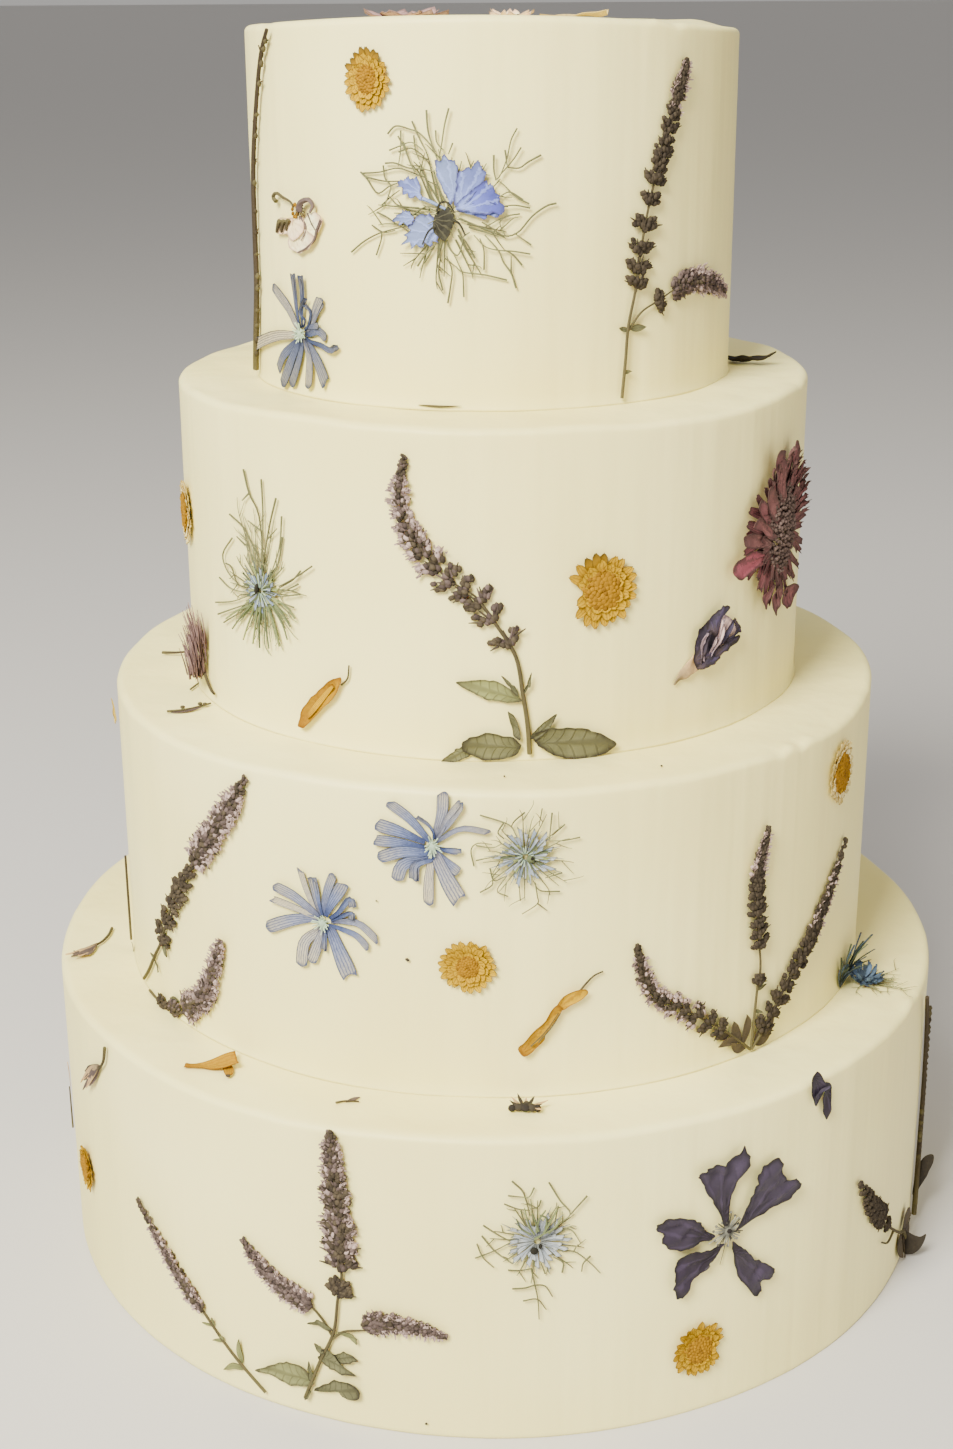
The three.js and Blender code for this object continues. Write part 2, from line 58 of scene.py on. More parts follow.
# ---------------------------------------------------------------- the four iced tiers
# Sponge tiers of 12, 10, 8 and 6 inches, coated in ivory buttercream and drawn smooth with a
# scraper while turning. The scraper leaves a wall with faint upright facets, a crisp top edge
# with low lips and nicks, and a soft bead of icing where a tier stands on the one below.
MM = 0.001
TIER_RADIUS = [0, 152.5, 127.5, 101.5, 76]
TIER_HEIGHT = [0, 104, 98, 99, 106]
TIER_FOOT = [0, 0, 104, 202, 301]
EDGE_IN = 2.6  # how far the rounded rim reaches in
EDGE_DOWN = 2.0  # and how far down
EDGE_BLEND = 10  # width of the ring in which the lips fade into the flat top
FOOT_BEAD = 0.8  # the bead of icing round the foot of an upper tier
SCRAPER_STEPS = 300  # faces round a tier


def lip_at(tier, angle):
    """How far the rim stands above the flat top, in mm."""
    if tier < 4:
        # slow waves from the turntable with a quick ripple here and there
        slow = 0.5 * math.sin(3 * angle + tier) + 0.3 * math.sin(7 * angle + 2 * tier)
        return slow + 0.2 * math.sin(19 * angle + tier) * math.sin(4 * angle)
    # the top tier's rim was drawn up highest at the front and is lowest at its right side
    return 1.9 + math.cos(angle) - 3.2 * math.sin(angle) ** 2 - 0.8 * math.sin(angle)


def linear(red, green, blue):
    """A colour given from 0 to 255, as the shader wants it."""
    return tuple((c / 255) ** 2.2 for c in (red, green, blue)) + (1.0,)


def shader(name, roughness, specular=0.3):
    """A new material with its nodes and its surface shader."""
    material = bpy.data.materials.new(name)
    material.use_nodes = True
    nodes = material.node_tree.nodes
    surface = nodes["Principled BSDF"]
    surface.inputs["Roughness"].default_value = roughness
    surface.inputs["Specular IOR Level"].default_value = specular
    return material, nodes, material.node_tree.links, surface


def noise_map(nodes, links, where, scale, detail):
    """A noise texture of one grain over the places given."""
    texture = nodes.new("ShaderNodeTexNoise")
    texture.inputs["Scale"].default_value = scale
    texture.inputs["Detail"].default_value = detail
    links.new(where, texture.inputs["Vector"])
    return texture


def bump_map(nodes, links, height, strength, depth):
    """A bump from a height map, of a depth in metres."""
    bump = nodes.new("ShaderNodeBump")
    bump.inputs["Strength"].default_value = strength
    bump.inputs["Distance"].default_value = depth
    links.new(height, bump.inputs["Height"])
    return bump


BUTTER_DEEP = (238, 227, 150)
BUTTER_PALE = (249.5, 241, 172)


def icing_finish():
    """Buttercream: light sinks in a little, and it is a touch deeper in broad patches."""
    material, nodes, links, surface = shader("ivory_icing", 0.5, 0.35)
    surface.inputs["Subsurface Weight"].default_value = 0.12
    surface.inputs["Subsurface Radius"].default_value = (1.0, 0.7, 0.35)
    surface.inputs["Subsurface Scale"].default_value = 0.006
    where = nodes.new("ShaderNodeTexCoord").outputs["Object"]
    # upright facets: noise drawn out along the height
    drawn = nodes.new("ShaderNodeMapping")
    drawn.inputs["Scale"].default_value = (1.0, 1.0, 0.06)
    links.new(where, drawn.inputs["Vector"])
    facets = noise_map(nodes, links, drawn.outputs["Vector"], 55, 3)
    facets.inputs["Roughness"].default_value = 0.45
    # the fine skin of chilled buttercream
    skin = noise_map(nodes, links, where, 420, 4)
    # broad uneven warmth of the butter
    butter = noise_map(nodes, links, where, 9, 2)
    tint = nodes.new("ShaderNodeValToRGB")
    deep, pale = tint.color_ramp.elements
    deep.position, pale.position = 0.3, 0.75
    deep.color, pale.color = linear(*BUTTER_DEEP), linear(*BUTTER_PALE)
    links.new(butter.outputs["Fac"], tint.inputs["Fac"])
    links.new(tint.outputs["Color"], surface.inputs["Base Color"])
    low = bump_map(nodes, links, facets.outputs["Fac"], 0.7, 0.0018)
    fine = bump_map(nodes, links, skin.outputs["Fac"], 0.25, 0.00015)
    links.new(low.outputs["Normal"], fine.inputs["Normal"])
    links.new(fine.outputs["Normal"], surface.inputs["Normal"])
    return material


ICING = icing_finish()
# small dents and lips that the palette knife left on the rims: tier, angle and width in degrees,
# height in mm
NICKS = [
    (4, 44, 2.0, -0.7),
    (4, 38, 1.4, 0.5),
    (4, -63, 2.5, -0.5),
    (3, -66, 3.0, 0.5),
    (3, 71, 2.5, -0.5),
    (2, 42.8, 1.2, -0.9),
    (2, 45.2, 1.0, 0.8),
    (2, 47.2, 1.0, -1.1),
    (2, 49.4, 1.2, 0.6),
    (2, -71, 3.0, 0.5),
    (1, 64, 1.2, 1.1),
    (1, 66.5, 1.2, -0.5),
    (1, -24, 2.5, -0.4),
    (3, 140, 2.5, -0.6),
    (4, 160, 2.0, 0.6),
    (2, 190, 2.5, 0.5),
    (1, 205, 3.0, -0.6),
]

for tier in (1, 2, 3, 4):
    radius, height, foot = TIER_RADIUS[tier], TIER_HEIGHT[tier], TIER_FOOT[tier]
    bead = 0.0 if tier == 1 else FOOT_BEAD
    # half of the upright section, from the middle of the underside to the middle of the top
    profile = [(0, 0), (radius - 3, 0), (radius + bead - 0.3, 0.0), (radius + 0.4 * bead, 0.7)]
    profile += [(radius, 1.8), (radius, 5)]
    wall = height - 19
    profile += [(radius, 5 + wall * i / 16) for i in range(1, 17)]
    profile += [(radius, height - 8), (radius, height - 4.5), (radius, height - 3)]
    for i in range(7):
        round_off = math.pi / 2 * i / 6
        inwards = EDGE_IN * (1 - math.cos(round_off))
        profile.append((radius - inwards, height - EDGE_DOWN * (1 - math.sin(round_off))))
    flat = radius - EDGE_IN - EDGE_BLEND
    profile += [(radius - EDGE_IN - EDGE_BLEND * i / 5, height) for i in range(1, 6)]
    profile += [(flat * (1 - i / 8), height) for i in range(1, 9)]
    bm = bmesh.new()
    corners = [bm.verts.new((r, 0, z)) for r, z in profile]
    edges = [bm.edges.new(pair) for pair in zip(corners, corners[1:])]
    bmesh.ops.spin(bm, geom=corners + edges, cent=(0, 0, 0), axis=(0, 0, 1),
                   angle=2 * math.pi, steps=SCRAPER_STEPS, use_merge=True)
    bmesh.ops.remove_doubles(bm, verts=bm.verts, dist=0.001)
    bmesh.ops.recalc_face_normals(bm, faces=bm.faces)
    for v in bm.verts:
        away = math.hypot(v.co.x, v.co.y)
        angle = math.atan2(v.co.x, -v.co.y)
        up = v.co.z
        # the wall: nine shallow facets and the unsteady hand that held the scraper
        on_wall = min(1, max(0, (away - radius + 6) / 4))
        dip = 0.3 * (0.5 + 0.5 * math.sin(9 * angle + 4 * tier))
        hand = Vector((6 * math.cos(angle), 6 * math.sin(angle), up / 60 + 3 * tier))
        dip += 0.22 * abs(noise.noise(hand)) + 0.1 * abs(noise.noise(4 * hand))
        # the rim: lips that fade out down the wall and into the top, then the knife's nicks
        rise = min(1, max(0, (up - height + 12) / 10)) * min(1, max(0, (away - flat) / 10))
        rise = rise * rise * (3 - 2 * rise)
        lip = lip_at(tier, angle)
        for where, turn, wide, deep in NICKS:
            if where == tier:
                off = (math.degrees(angle) - turn + 180) % 360 - 180
                edge = min(1, max(0, (away - radius + 5) / 3))
                v.co.z += deep * edge * math.exp(-((off / wide) ** 2)) * (up > height - 4)
        # the top: smoothed by hand, so faintly wavy
        ledge = Vector((v.co.x / 22, v.co.y / 22, tier * 5.0))
        wave = 0.35 * noise.noise(ledge) * (up > height - 0.5) * (1 - rise)
        v.co.z += lip * rise + wave
        keep = (away - dip * on_wall) / away if away > 0 else 1
        v.co.x *= keep
        v.co.y *= keep
        v.co.z += foot
        v.co *= MM
    mesh = bpy.data.meshes.new("iced_tier_%d" % tier)
    bm.to_mesh(mesh)
    bm.free()
    mesh.shade_smooth()
    mesh.materials.append(ICING)
    iced = bpy.data.objects.new("iced_tier_%d" % tier, mesh)
    bpy.context.scene.collection.objects.link(iced)
    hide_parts("tier_%d" % tier)
    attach(iced, "root")

# ---------------------------------------------------------------- yellow daisies
# Double feverfew daisies pressed flat: three rings of short golden petals with brown margins round
# a dotted orange heart. They dried to paper, and are stuck to the soft icing, tips a little up.
CLEAR = 0.35  # mm between the icing and a flower
GOLDEN = 2.4  # radians from one seed, hair or thread of a flower to the next


def on_side(tier, angle, height):
    """A place on a tier's wall: across, along and out from it in mm become a point."""

    def lay(across, along, out):
        turn = math.radians(angle) + across / TIER_RADIUS[tier]
        away = TIER_RADIUS[tier] + CLEAR + out
        up = TIER_FOOT[tier] + height + along
        return Vector((away * math.sin(turn), -away * math.cos(turn), up)) * MM

    return lay


def on_top(tier, x, y, turned=0):
    """A place on the top of a tier, with the flower turned by an angle."""
    turn = math.radians(turned)
    level = TIER_FOOT[tier] + TIER_HEIGHT[tier] + CLEAR

    def lay(across, along, out):
        east = x + across * math.cos(turn) - along * math.sin(turn)
        north = y + across * math.sin(turn) + along * math.cos(turn)
        return Vector((east, north, level + out)) * MM

    return lay


def new_flower():
    """An empty drawing that carries where on its petal each point is, and its tone."""
    bm = bmesh.new()
    bm.loops.layers.uv.new("petal")
    bm.loops.layers.uv.new("tone")
    return bm


def way(turn, across=1, up=1):
    """The direction of a turn, clockwise from straight up, on a circle or an oval."""
    return Vector((across * math.sin(turn), up * math.cos(turn)))


def right_of(ahead):
    """The direction to the right of another."""
    return Vector((ahead.y, -ahead.x))


def between(a, b, c, d, t):
    """A point of the smooth line from b to c that comes from a and goes on to d."""
    return 0.5 * (2 * b + (c - a) * t + (2 * a - 5 * b + 4 * c - d) * t**2
                  + (3 * b - a - 3 * c + d) * t**3)


def midrib(path):
    """A smooth line through the points of a path, by the share of it."""
    points = [Vector(p) for p in path]
    ends = [2 * points[0] - points[1]] + points + [2 * points[-1] - points[-2]]

    def at(share):
        x = min(max(share, 0), 0.99999) * (len(points) - 1)
        i = int(x)
        return between(*ends[i : i + 4], x - i)

    return at


def side_of(rib, share):
    """The direction to the right of a midrib."""
    ahead = rib(min(1, share + 0.02)) - rib(max(0, share - 0.02))
    ahead.normalize()
    return right_of(ahead)


FINISHES = [
]


def mark(bm, corners, places, finish, faded, rims=None):
    """Notes the finish, the petal places, the margin and the fading of a new piece."""
    uv = bm.loops.layers.uv["petal"]
    tone = bm.loops.layers.uv["tone"]
    faces = list(dict.fromkeys(f for v in corners for f in v.link_faces))
    number = FINISHES.index(finish)
    for face in faces:
        face.material_index = number
        for loop in face.loops:
            loop[uv].uv = places.get(loop.vert, (0.5, 0.5))
            loop[tone].uv = (rims[loop.vert] if rims else 0.0, faded)
    return faces


def petal(bm, path, width, shape, finish, faded=0.0, rows=8, columns=4, low=0.1, lift=0.4,
          cup=0.0, teeth=0.0, crumple=0.0, thick=0.18, wave=0.0):
    """A thin petal or leaf along a midrib, as wide as its shape says.

    low and lift are how far its foot and its tip stand off, cup raises its sides, teeth tears
    its tip, crumple dents it and wave gives it a serrated edge.
    """
    rib = midrib(path)
    grid = bmesh.ops.create_grid(bm, x_segments=columns, y_segments=rows, size=1)["verts"]
    places, rims = {}, {}
    seed = Vector((path[0][0] * 0.7 + width, path[-1][1] * 0.7, path[-1][0] * 0.7))
    for v in grid:
        side, share = v.co.x, (v.co.y + 1) / 2
        places[v] = (0.5 + 0.5 * side, share)
        rims[v] = min(1, max(abs(side), 3.3 * share - 2.3))
        short = 1.0
        if teeth and share > 0.98:
            short -= teeth * (0.5 + 0.5 * math.cos(17 * side + seed.x))
        spot = rib(share * short)
        half = 0.5 * width * shape(share)
        if wave:
            half *= 1 + wave * math.sin(46 * share + 2 * side)
        spot = spot + side_of(rib, share) * side * half
        out = low + lift * share**2 + cup * side * side * share
        if crumple:
            out += crumple * (0.5 + noise.noise(seed + Vector((side, 3 * share, 0))))
        v.co = (spot.x, spot.y, max(0.05, out))
    faces = mark(bm, grid, places, finish, faded, rims)
    bmesh.ops.solidify(bm, geom=faces, thickness=thick)


def blade(bm, outline, finish, faded=0.0, squares=8, low=0.25, lift=0.3, crumple=0.4,
          curl=0.2, ragged=0.0, thick=0.18):
    """A thin piece cut to any outline, which starts and ends at its foot.

    curl raises its rim, crumple dents it and ragged tears its edge.
    """
    points = [Vector(p) for p in outline]
    if sum(a.cross(b) for a, b in zip(points, points[1:] + points[:1])) < 0:
        points.reverse()
    count = len(points)
    foot = (points[0] + points[-1]) / 2
    middle = sum(points, Vector((0, 0))) / count
    far = max((p - foot).length for p in points)
    axis = math.atan2(middle.x - foot.x, middle.y - foot.y)
    grid = bmesh.ops.create_grid(bm, x_segments=squares, y_segments=squares, size=1)["verts"]
    places, rims = {}, {}
    for v in grid:
        ring = max(abs(v.co.x), abs(v.co.y))
        x = math.atan2(v.co.x, -v.co.y) / (2 * math.pi) % 1 * count
        rim = between(*(points[(int(x) + step) % count] for step in (-1, 0, 1, 2)), x % 1)
        if ragged:
            rim += (rim - middle).normalized() * ragged * noise.noise(Vector((x * 2.3, far, 0)))
        spot = middle + (rim - middle) * ring
        away = spot - foot
        turn = (math.atan2(away.x, away.y) - axis + math.pi) % (2 * math.pi) - math.pi
        places[v] = (min(1, max(0, 0.5 + 0.45 * turn)), away.length / far)
        rims[v] = ring
        out = low + lift * (away.length / far) ** 2 + curl * ring**4
        out += crumple * (0.5 + noise.noise(Vector((spot.x / 3.5, spot.y / 3.5, far))))
        v.co = (spot.x, spot.y, max(0.05, out))
    faces = mark(bm, grid, places, finish, faded, rims)
    bmesh.ops.solidify(bm, geom=faces, thickness=thick)


def stalk(bm, path, width, finish, faded=0.5, rows=8, sides=5, low=0.0, lift=0.0, taper=0.7):
    """A round stalk or a thread, closed at both ends."""
    rib = midrib(path)
    grid = bmesh.ops.create_grid(bm, x_segments=sides, y_segments=rows + 2, size=1)["verts"]
    places = {}
    for v in grid:
        turn = -math.pi * (v.co.x + 1)
        row = round((v.co.y + 1) / 2 * (rows + 2))
        share = min(max((row - 1) / rows, 0), 1)
        places[v] = (0.5 + 0.5 * v.co.x, share)
        half = 0.5 * width * (1 - (1 - taper) * share) * (0 < row < rows + 2)
        spot = rib(share) + side_of(rib, share) * half * math.cos(turn)
        centre = low + 0.5 * width + lift * share
        v.co = (spot.x, spot.y, centre + half * math.sin(turn))
    mark(bm, grid, places, finish, faded)
    bmesh.ops.remove_doubles(bm, verts=grid, dist=1e-5)


def bead(bm, spot, size, turned, finish, faded=0.5, out=0.4, balls=1):
    """A small rounded lump, such as a closed floret: half width, half length and half depth."""
    place = Matrix.Translation((spot[0], spot[1], out)) @ Matrix.Rotation(-turned, 4, "Z")
    place = place @ Matrix.Diagonal((size[0], size[1], size[2], 1))
    made = bmesh.ops.create_icosphere(bm, subdivisions=balls, radius=1, matrix=place)["verts"]
    mark(bm, made, {}, finish, faded)


def lay_down(name, bm, lay, slot, *nodes):
    """Bends the drawn flower onto the cake and fixes it there, with the finishes that it has."""
    used = sorted({face.material_index for face in bm.faces})
    for face in bm.faces:
        face.material_index = used.index(face.material_index)
    for v in bm.verts:
        v.co = lay(*v.co)
    mesh = bpy.data.meshes.new(name)
    bm.to_mesh(mesh)
    bm.free()
    mesh.shade_smooth()
    mesh.set_sharp_from_angle(angle=math.radians(50))
    for number in used:
        mesh.materials.append(FINISHES[number])
    flower = bpy.data.objects.new(name, mesh)
    bpy.context.scene.collection.objects.link(flower)
    if nodes:
        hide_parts(*nodes)
    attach(flower, "root")


def dried(name, ramp, faded=None, edge=None, edge_from=0.72, veins=None, vein_count=9,
          vein_depth=0.5, mottle=0.25, grain=900, leafy=False, rough=0.82):
    """A dried petal or leaf: its colours from foot to tip, margin, veins and blotches."""
    material, nodes, links, surface = shader(name, rough, 0.2)

    def math_node(kind, a, b=0.0, c=0.0):
        node = nodes.new("ShaderNodeMath")
        node.operation = kind
        for socket, value in zip(node.inputs, (a, b, c)):
            if isinstance(value, (int, float)):
                socket.default_value = value
            else:
                links.new(value, socket)
        return node.outputs[0]

    def blend(amount, one, other):
        node = nodes.new("ShaderNodeMix")
        node.data_type = "RGBA"
        links.new(amount, node.inputs["Factor"])
        for socket, value in ((node.inputs[6], one), (node.inputs[7], other)):
            if isinstance(value, tuple):
                socket.default_value = value
            else:
                links.new(value, socket)
        return node.outputs[2]

    def smooth(value, start, stop):
        node = nodes.new("ShaderNodeMapRange")
        node.interpolation_type = "SMOOTHSTEP"
        node.inputs["From Min"].default_value = start
        node.inputs["From Max"].default_value = stop
        links.new(value, node.inputs["Value"])
        return node.outputs["Result"]

    def spread(layer):
        uv = nodes.new("ShaderNodeUVMap")
        uv.uv_map = layer
        split = nodes.new("ShaderNodeSeparateXYZ")
        links.new(uv.outputs["UV"], split.inputs["Vector"])
        return split

    split, tone = spread("petal"), spread("tone")
    across = math_node("ABSOLUTE", math_node("MULTIPLY_ADD", split.outputs["X"], 2.0, -1.0))
    share = split.outputs["Y"]
    where = nodes.new("ShaderNodeTexCoord").outputs["Object"]
    blots = noise_map(nodes, links, where, grain, 3).outputs["Fac"]
    # from foot to tip, with the blotches shifting the stops a little
    along = nodes.new("ShaderNodeValToRGB")
    while len(along.color_ramp.elements) < len(ramp):
        along.color_ramp.elements.new(0.5)
    for element, (stop, colour) in zip(along.color_ramp.elements, ramp):
        element.position = stop
        element.color = linear(*colour)
    links.new(math_node("ADD", share, math_node("MULTIPLY_ADD", blots, 0.3, -0.15)),
              along.inputs["Fac"])
    colour = along.outputs["Color"]
    if faded:
        amount = math_node("MULTIPLY", tone.outputs["Y"], smooth(share, -0.2, 0.45))
        colour = blend(amount, colour, linear(*faded))
    height = blots
    if veins:
        if leafy:
            # slanting veins to both sides of a midrib
            phase = math_node("SUBTRACT", math_node("MULTIPLY", share, vein_count),
                              math_node("MULTIPLY", across, 2.2))
            rib = smooth(across, 0.10, 0.02)
            line = math_node("SINE", math_node("MULTIPLY", phase, 2 * math.pi))
            lines = math_node("MAXIMUM", smooth(line, 0.75, 1.0), rib)
        else:
            # veins that run from foot to tip
            phase = math_node("MULTIPLY", split.outputs["X"], vein_count * 2 * math.pi)
            phase = math_node("ADD", phase, math_node("MULTIPLY", blots, 5.0))
            lines = smooth(math_node("SINE", phase), 0.25, 1.0)
        colour = blend(math_node("MULTIPLY", lines, vein_depth), colour, linear(*veins))
        height = math_node("ADD", blots, math_node("MULTIPLY", lines, 0.7))
    if edge:
        rim = math_node("MULTIPLY", smooth(tone.outputs["X"], edge_from, 1.0),
                        smooth(blots, 0.2, 0.55))
        colour = blend(rim, colour, linear(*edge))
    shade = math_node("MULTIPLY_ADD", blots, 2 * mottle, 1 - mottle)
    toned = nodes.new("ShaderNodeHueSaturation")
    links.new(colour, toned.inputs["Color"])
    links.new(shade, toned.inputs["Value"])
    links.new(toned.outputs["Color"], surface.inputs["Base Color"])
    bump = bump_map(nodes, links, height, 0.6, 0.0003)
    links.new(bump.outputs["Normal"], surface.inputs["Normal"])
    FINISHES.append(material)
    return material


def rounded(share):
    """Broad with a round tip."""
    return max(0.12, math.sin(math.pi * min(1, 0.25 + 0.75 * share) ** 1.6)) ** 0.6


DAISY_PETAL = dried("daisy_petal", [(0, (142, 102, 2)), (0.5, (162, 124, 2)),
                    (1, (178, 140, 3))], faded=(206, 172, 22), edge=(116, 84, 8),
                    edge_from=0.82, veins=(138, 98, 2), vein_count=3, vein_depth=0.5)
DAISY_AGED = dried("aged_daisy_petal", [(0, (142, 104, 2)), (0.5, (146, 110, 6)),
                   (0.8, (118, 90, 18)), (1, (92, 74, 28))], edge=(80, 64, 28), edge_from=0.7)
DAISY_BLEACHED = dried("bleached_daisy_petal", [(0, (196, 166, 70)), (0.5, (232, 216, 150)),
                       (1, (240, 228, 176))], faded=(222, 200, 120), edge=(150, 124, 62),
                       edge_from=0.85, veins=(206, 184, 110), vein_count=3, vein_depth=0.4)
DAISY_HEART = dried("daisy_heart", [(0, (160, 120, 2)), (0.6, (142, 102, 2)),
                    (1, (152, 112, 2))], faded=(106, 74, 10), mottle=0.35, grain=1500)
# name, tier, angle, height, half width, half height, how pale the outer petals are, where a
# piece is torn out, where the tips went dark, how wide the heart is
DAISIES = [
    ("daisy_4a", 4, -27, 92, 7.6, 9.6, 0.1, None, (-75, 40), 0.4),
    ("daisy_3a", 3, -74, 58, 10.5, 11.5, 0.8, None, None, 0.45),
    ("daisy_3b", 3, 18, 51, 11.5, 12, 0.05, 262, (-38, 14), 0.48),
    ("daisy_2a", 2, -3.5, 44, 9.2, 9.2, 0.4, None, None, 0.36),
    ("daisy_2b", 2, 58, 81, 9.4, 11.2, 1.0, None, None, 0.55),
    ("daisy_1a", 1, -64.5, 42, 8.5, 8.6, 0.5, None, None, 0.5),
    ("daisy_1b", 1, 24, 23.5, 10, 10.3, 0.1, 98, None, 0.46),
    ("daisy_4b", 4, 112, 34, 9, 9.4, 0.2, None, (60, 120), 0.42),
    ("daisy_3c", 3, 172, 44, 10.5, 10.8, 0.5, 40, None, 0.5),
    ("daisy_1c", 1, 122, 38, 10.5, 10.2, 0.1, None, (-20, 40), 0.45),
]


# three rings of petals, outermost first: how many, from and to which share of the radius, and how
# far off the icing in mm
DAISY_RINGS = ((21, 0.42, 1.0, 0.1), (16, 0.3, 0.8, 0.35), (11, 0.2, 0.6, 0.6))
DAISY_DOTS = 60


def daisy(bm, across, up, pale, torn, aged, heart, chance):
    """Rings of petals round a heart of dots."""
    for ring, (count, start, stop, out) in enumerate(DAISY_RINGS):
        for i in range(count):
            turned = 360 * (i + 0.4 * chance.random() + 0.5 * ring) / count
            if torn is not None and ring < 2:
                if abs((turned - torn + 180) % 360 - 180) < 11 + 7 * (ring == 0):
                    continue
            dark = aged and aged[0] < (turned + 180) % 360 - 180 < aged[1] and ring == 0
            turn = math.radians(turned)
            reach = stop * (0.86 + 0.14 * chance.random())
            towards = way(turn, across, up)
            swerve = right_of(towards) * 0.06 * (chance.random() - 0.5)
            path = [towards * start, towards * (start + reach) * 0.5 + swerve, towards * reach]
            wide = (across + up) * math.pi * stop / count * (0.98 if ring else 0.84)
            fade = pale * (0.5 + 0.5 * chance.random()) if ring == 0 else 0.25 * chance.random()
            bleached = pale > 0.75 and ring < 2
            finish = DAISY_AGED if dark else DAISY_BLEACHED if bleached else DAISY_PETAL
            petal(bm, path, wide, rounded, finish, fade, rows=5,
                  low=out + 0.1 * (i % 3), lift=0.45, cup=0.25, teeth=0.08, crumple=0.25)
    for i in range(DAISY_DOTS):
        share = math.sqrt((i + 0.5) / DAISY_DOTS)
        turn = GOLDEN * i
        spot = (heart * across * share * math.sin(turn), heart * up * share * math.cos(turn))
        size = 0.05 * (across + up) * (0.7 + 0.3 * chance.random()) * heart / 0.42
        age = 0.8 if 0.86 < share < 0.94 or share < 0.2 else 0.4 * chance.random()
        bead(bm, spot, (size, size, 0.7), turn, DAISY_HEART, age, out=1.15 - 0.45 * share * share)


for number, (name, tier, angle, height, *looks) in enumerate(DAISIES):
    bm = new_flower()
    daisy(bm, *looks, random.Random(100 + number))
    lay_down(name + "_dried", bm, on_side(tier, angle, height), "yellow_petals", name)


# ---------------------------------------------------------------- blue chicory
# Wild chicory flowers: strap petals cut square at the tip, blue-grey near the middle and faded
# to beige at the ends, some folded over while pressing, round a tuft of greenish-white stamens.


def strap(share):
    """Narrow at the foot, widest near the square tip."""
    return 0.34 + 0.66 * min(1, share / 0.75) if share < 0.97 else 0.92


def ray(turned, length):
    """A slightly bent midline that points away from the heart."""
    towards = way(math.radians(turned))
    aside = right_of(towards) * 0.06 * length * math.sin(3 * turned)
    return [towards * 1.2, towards * length * 0.55 + aside, towards * length]


# the flower on the top tier has lost more of its colour than the others
CHICORY_PETAL = dried("chicory_petal", [(0, (52, 60, 98)), (0.3, (70, 82, 122)),
                      (0.6, (106, 116, 148)), (1, (146, 142, 130))], faded=(205, 192, 148),
                      edge=(66, 74, 100), edge_from=0.74, veins=(56, 70, 112),
                      vein_count=5, vein_depth=0.75, mottle=0.28)
CHICORY_DULL = dried("chicory_dull", [(0, (42, 48, 76)), (0.3, (60, 70, 102)),
                     (0.6, (88, 96, 122)), (1, (122, 120, 116))], faded=(182, 172, 142),
                     edge=(54, 61, 82), edge_from=0.74, veins=(46, 56, 88), vein_count=5,
                     vein_depth=0.75, mottle=0.28)
STAMENS = dried("greenish_stamens", [(0, (118, 140, 128)), (1, (184, 204, 172))], mottle=0.25)
# each petal's midline from the heart outwards, in mm
STRAPS_4A = [
    [(-3, 2.4), (-7.6, 7.5), (-16.2, 12.8)],
    [(-1.3, 3.8), (-2, 10.5), (-2.5, 17.5)],
    [(0.7, 4.6), (1.6, 12.3), (1.4, 17.3)],
    [(2.1, 4.1), (0.3, 6.3), (3.4, 10.7)],
    [(3.4, 2.5), (5, 6.8), (2.8, 8.9)],
    [(3.9, 2.6), (6.8, 7.6), (9.5, 11.6)],
    [(4.3, 2), (7.6, 7.1), (10.2, 9.9)],
    [(3.4, 2.2), (6.5, 2.8), (8.3, 3.3)],
    [(3.3, 0.1), (7.8, 1.5), (11, -0.5)],
    [(3.6, -1.9), (8.9, -2.5), (12.9, -3.6), (15.3, -2.2)],
    [(3.1, -3.2), (6.9, -7.2), (10.8, -14.5)],
    [(2.1, -3.6), (3.8, -8.1), (2.9, -16.4)],
    [(-0.3, -3.6), (-2.1, -8.9), (-6.4, -17)],
    [(-2.3, -3.8), (-5.9, -9.4), (-11.3, -17.5)],
    [(-3.9, -3.7), (-9.9, -7.8), (-13.6, -13.2)],
    [(-4.2, -1), (-15.5, -2.8), (-40.4, -10)],
]
STRAPS_2A = [
    [(-3, 4.1), (-5.2, 9.5), (-7.3, 16.5)],
    [(-1.6, 5.3), (-2.2, 9.4), (-3, 14.4)],
    [(0.4, 5.7), (1.8, 10.7), (4, 16.5)],
    [(2.3, 5.4), (4.7, 9.6), (7.4, 14.2)],
    [(4.9, 4.2), (8.8, 9.3), (10, 6.9)],
    [(5.8, 3), (9.3, 4.9), (9.3, 2.6)],
    [(6.4, 1.5), (11.8, 1.4), (17.8, -3.3)],
    [(5.7, -0.9), (10.7, -2.3), (14.7, -6)],
    [(2.4, -2.4), (5.4, -9.7), (8.7, -17.1)],
    [(0.4, -2.8), (0.3, -5.7), (0.2, -9)],
    [(-2.3, -3.3), (-6.5, -7.8), (-7.6, -15.9)],
    [(-0.6, -3.6), (-2.1, -7.8), (-4.4, -13.9)],
    [(-3.8, 0.7), (-11.5, -1.6), (-20.2, -6)],
    [(-3.8, 1.6), (-10.6, 3.2), (-18.2, 4.4)],
    [(-3.4, 3), (-9.4, 6.7), (-16.8, 8.9)],
]
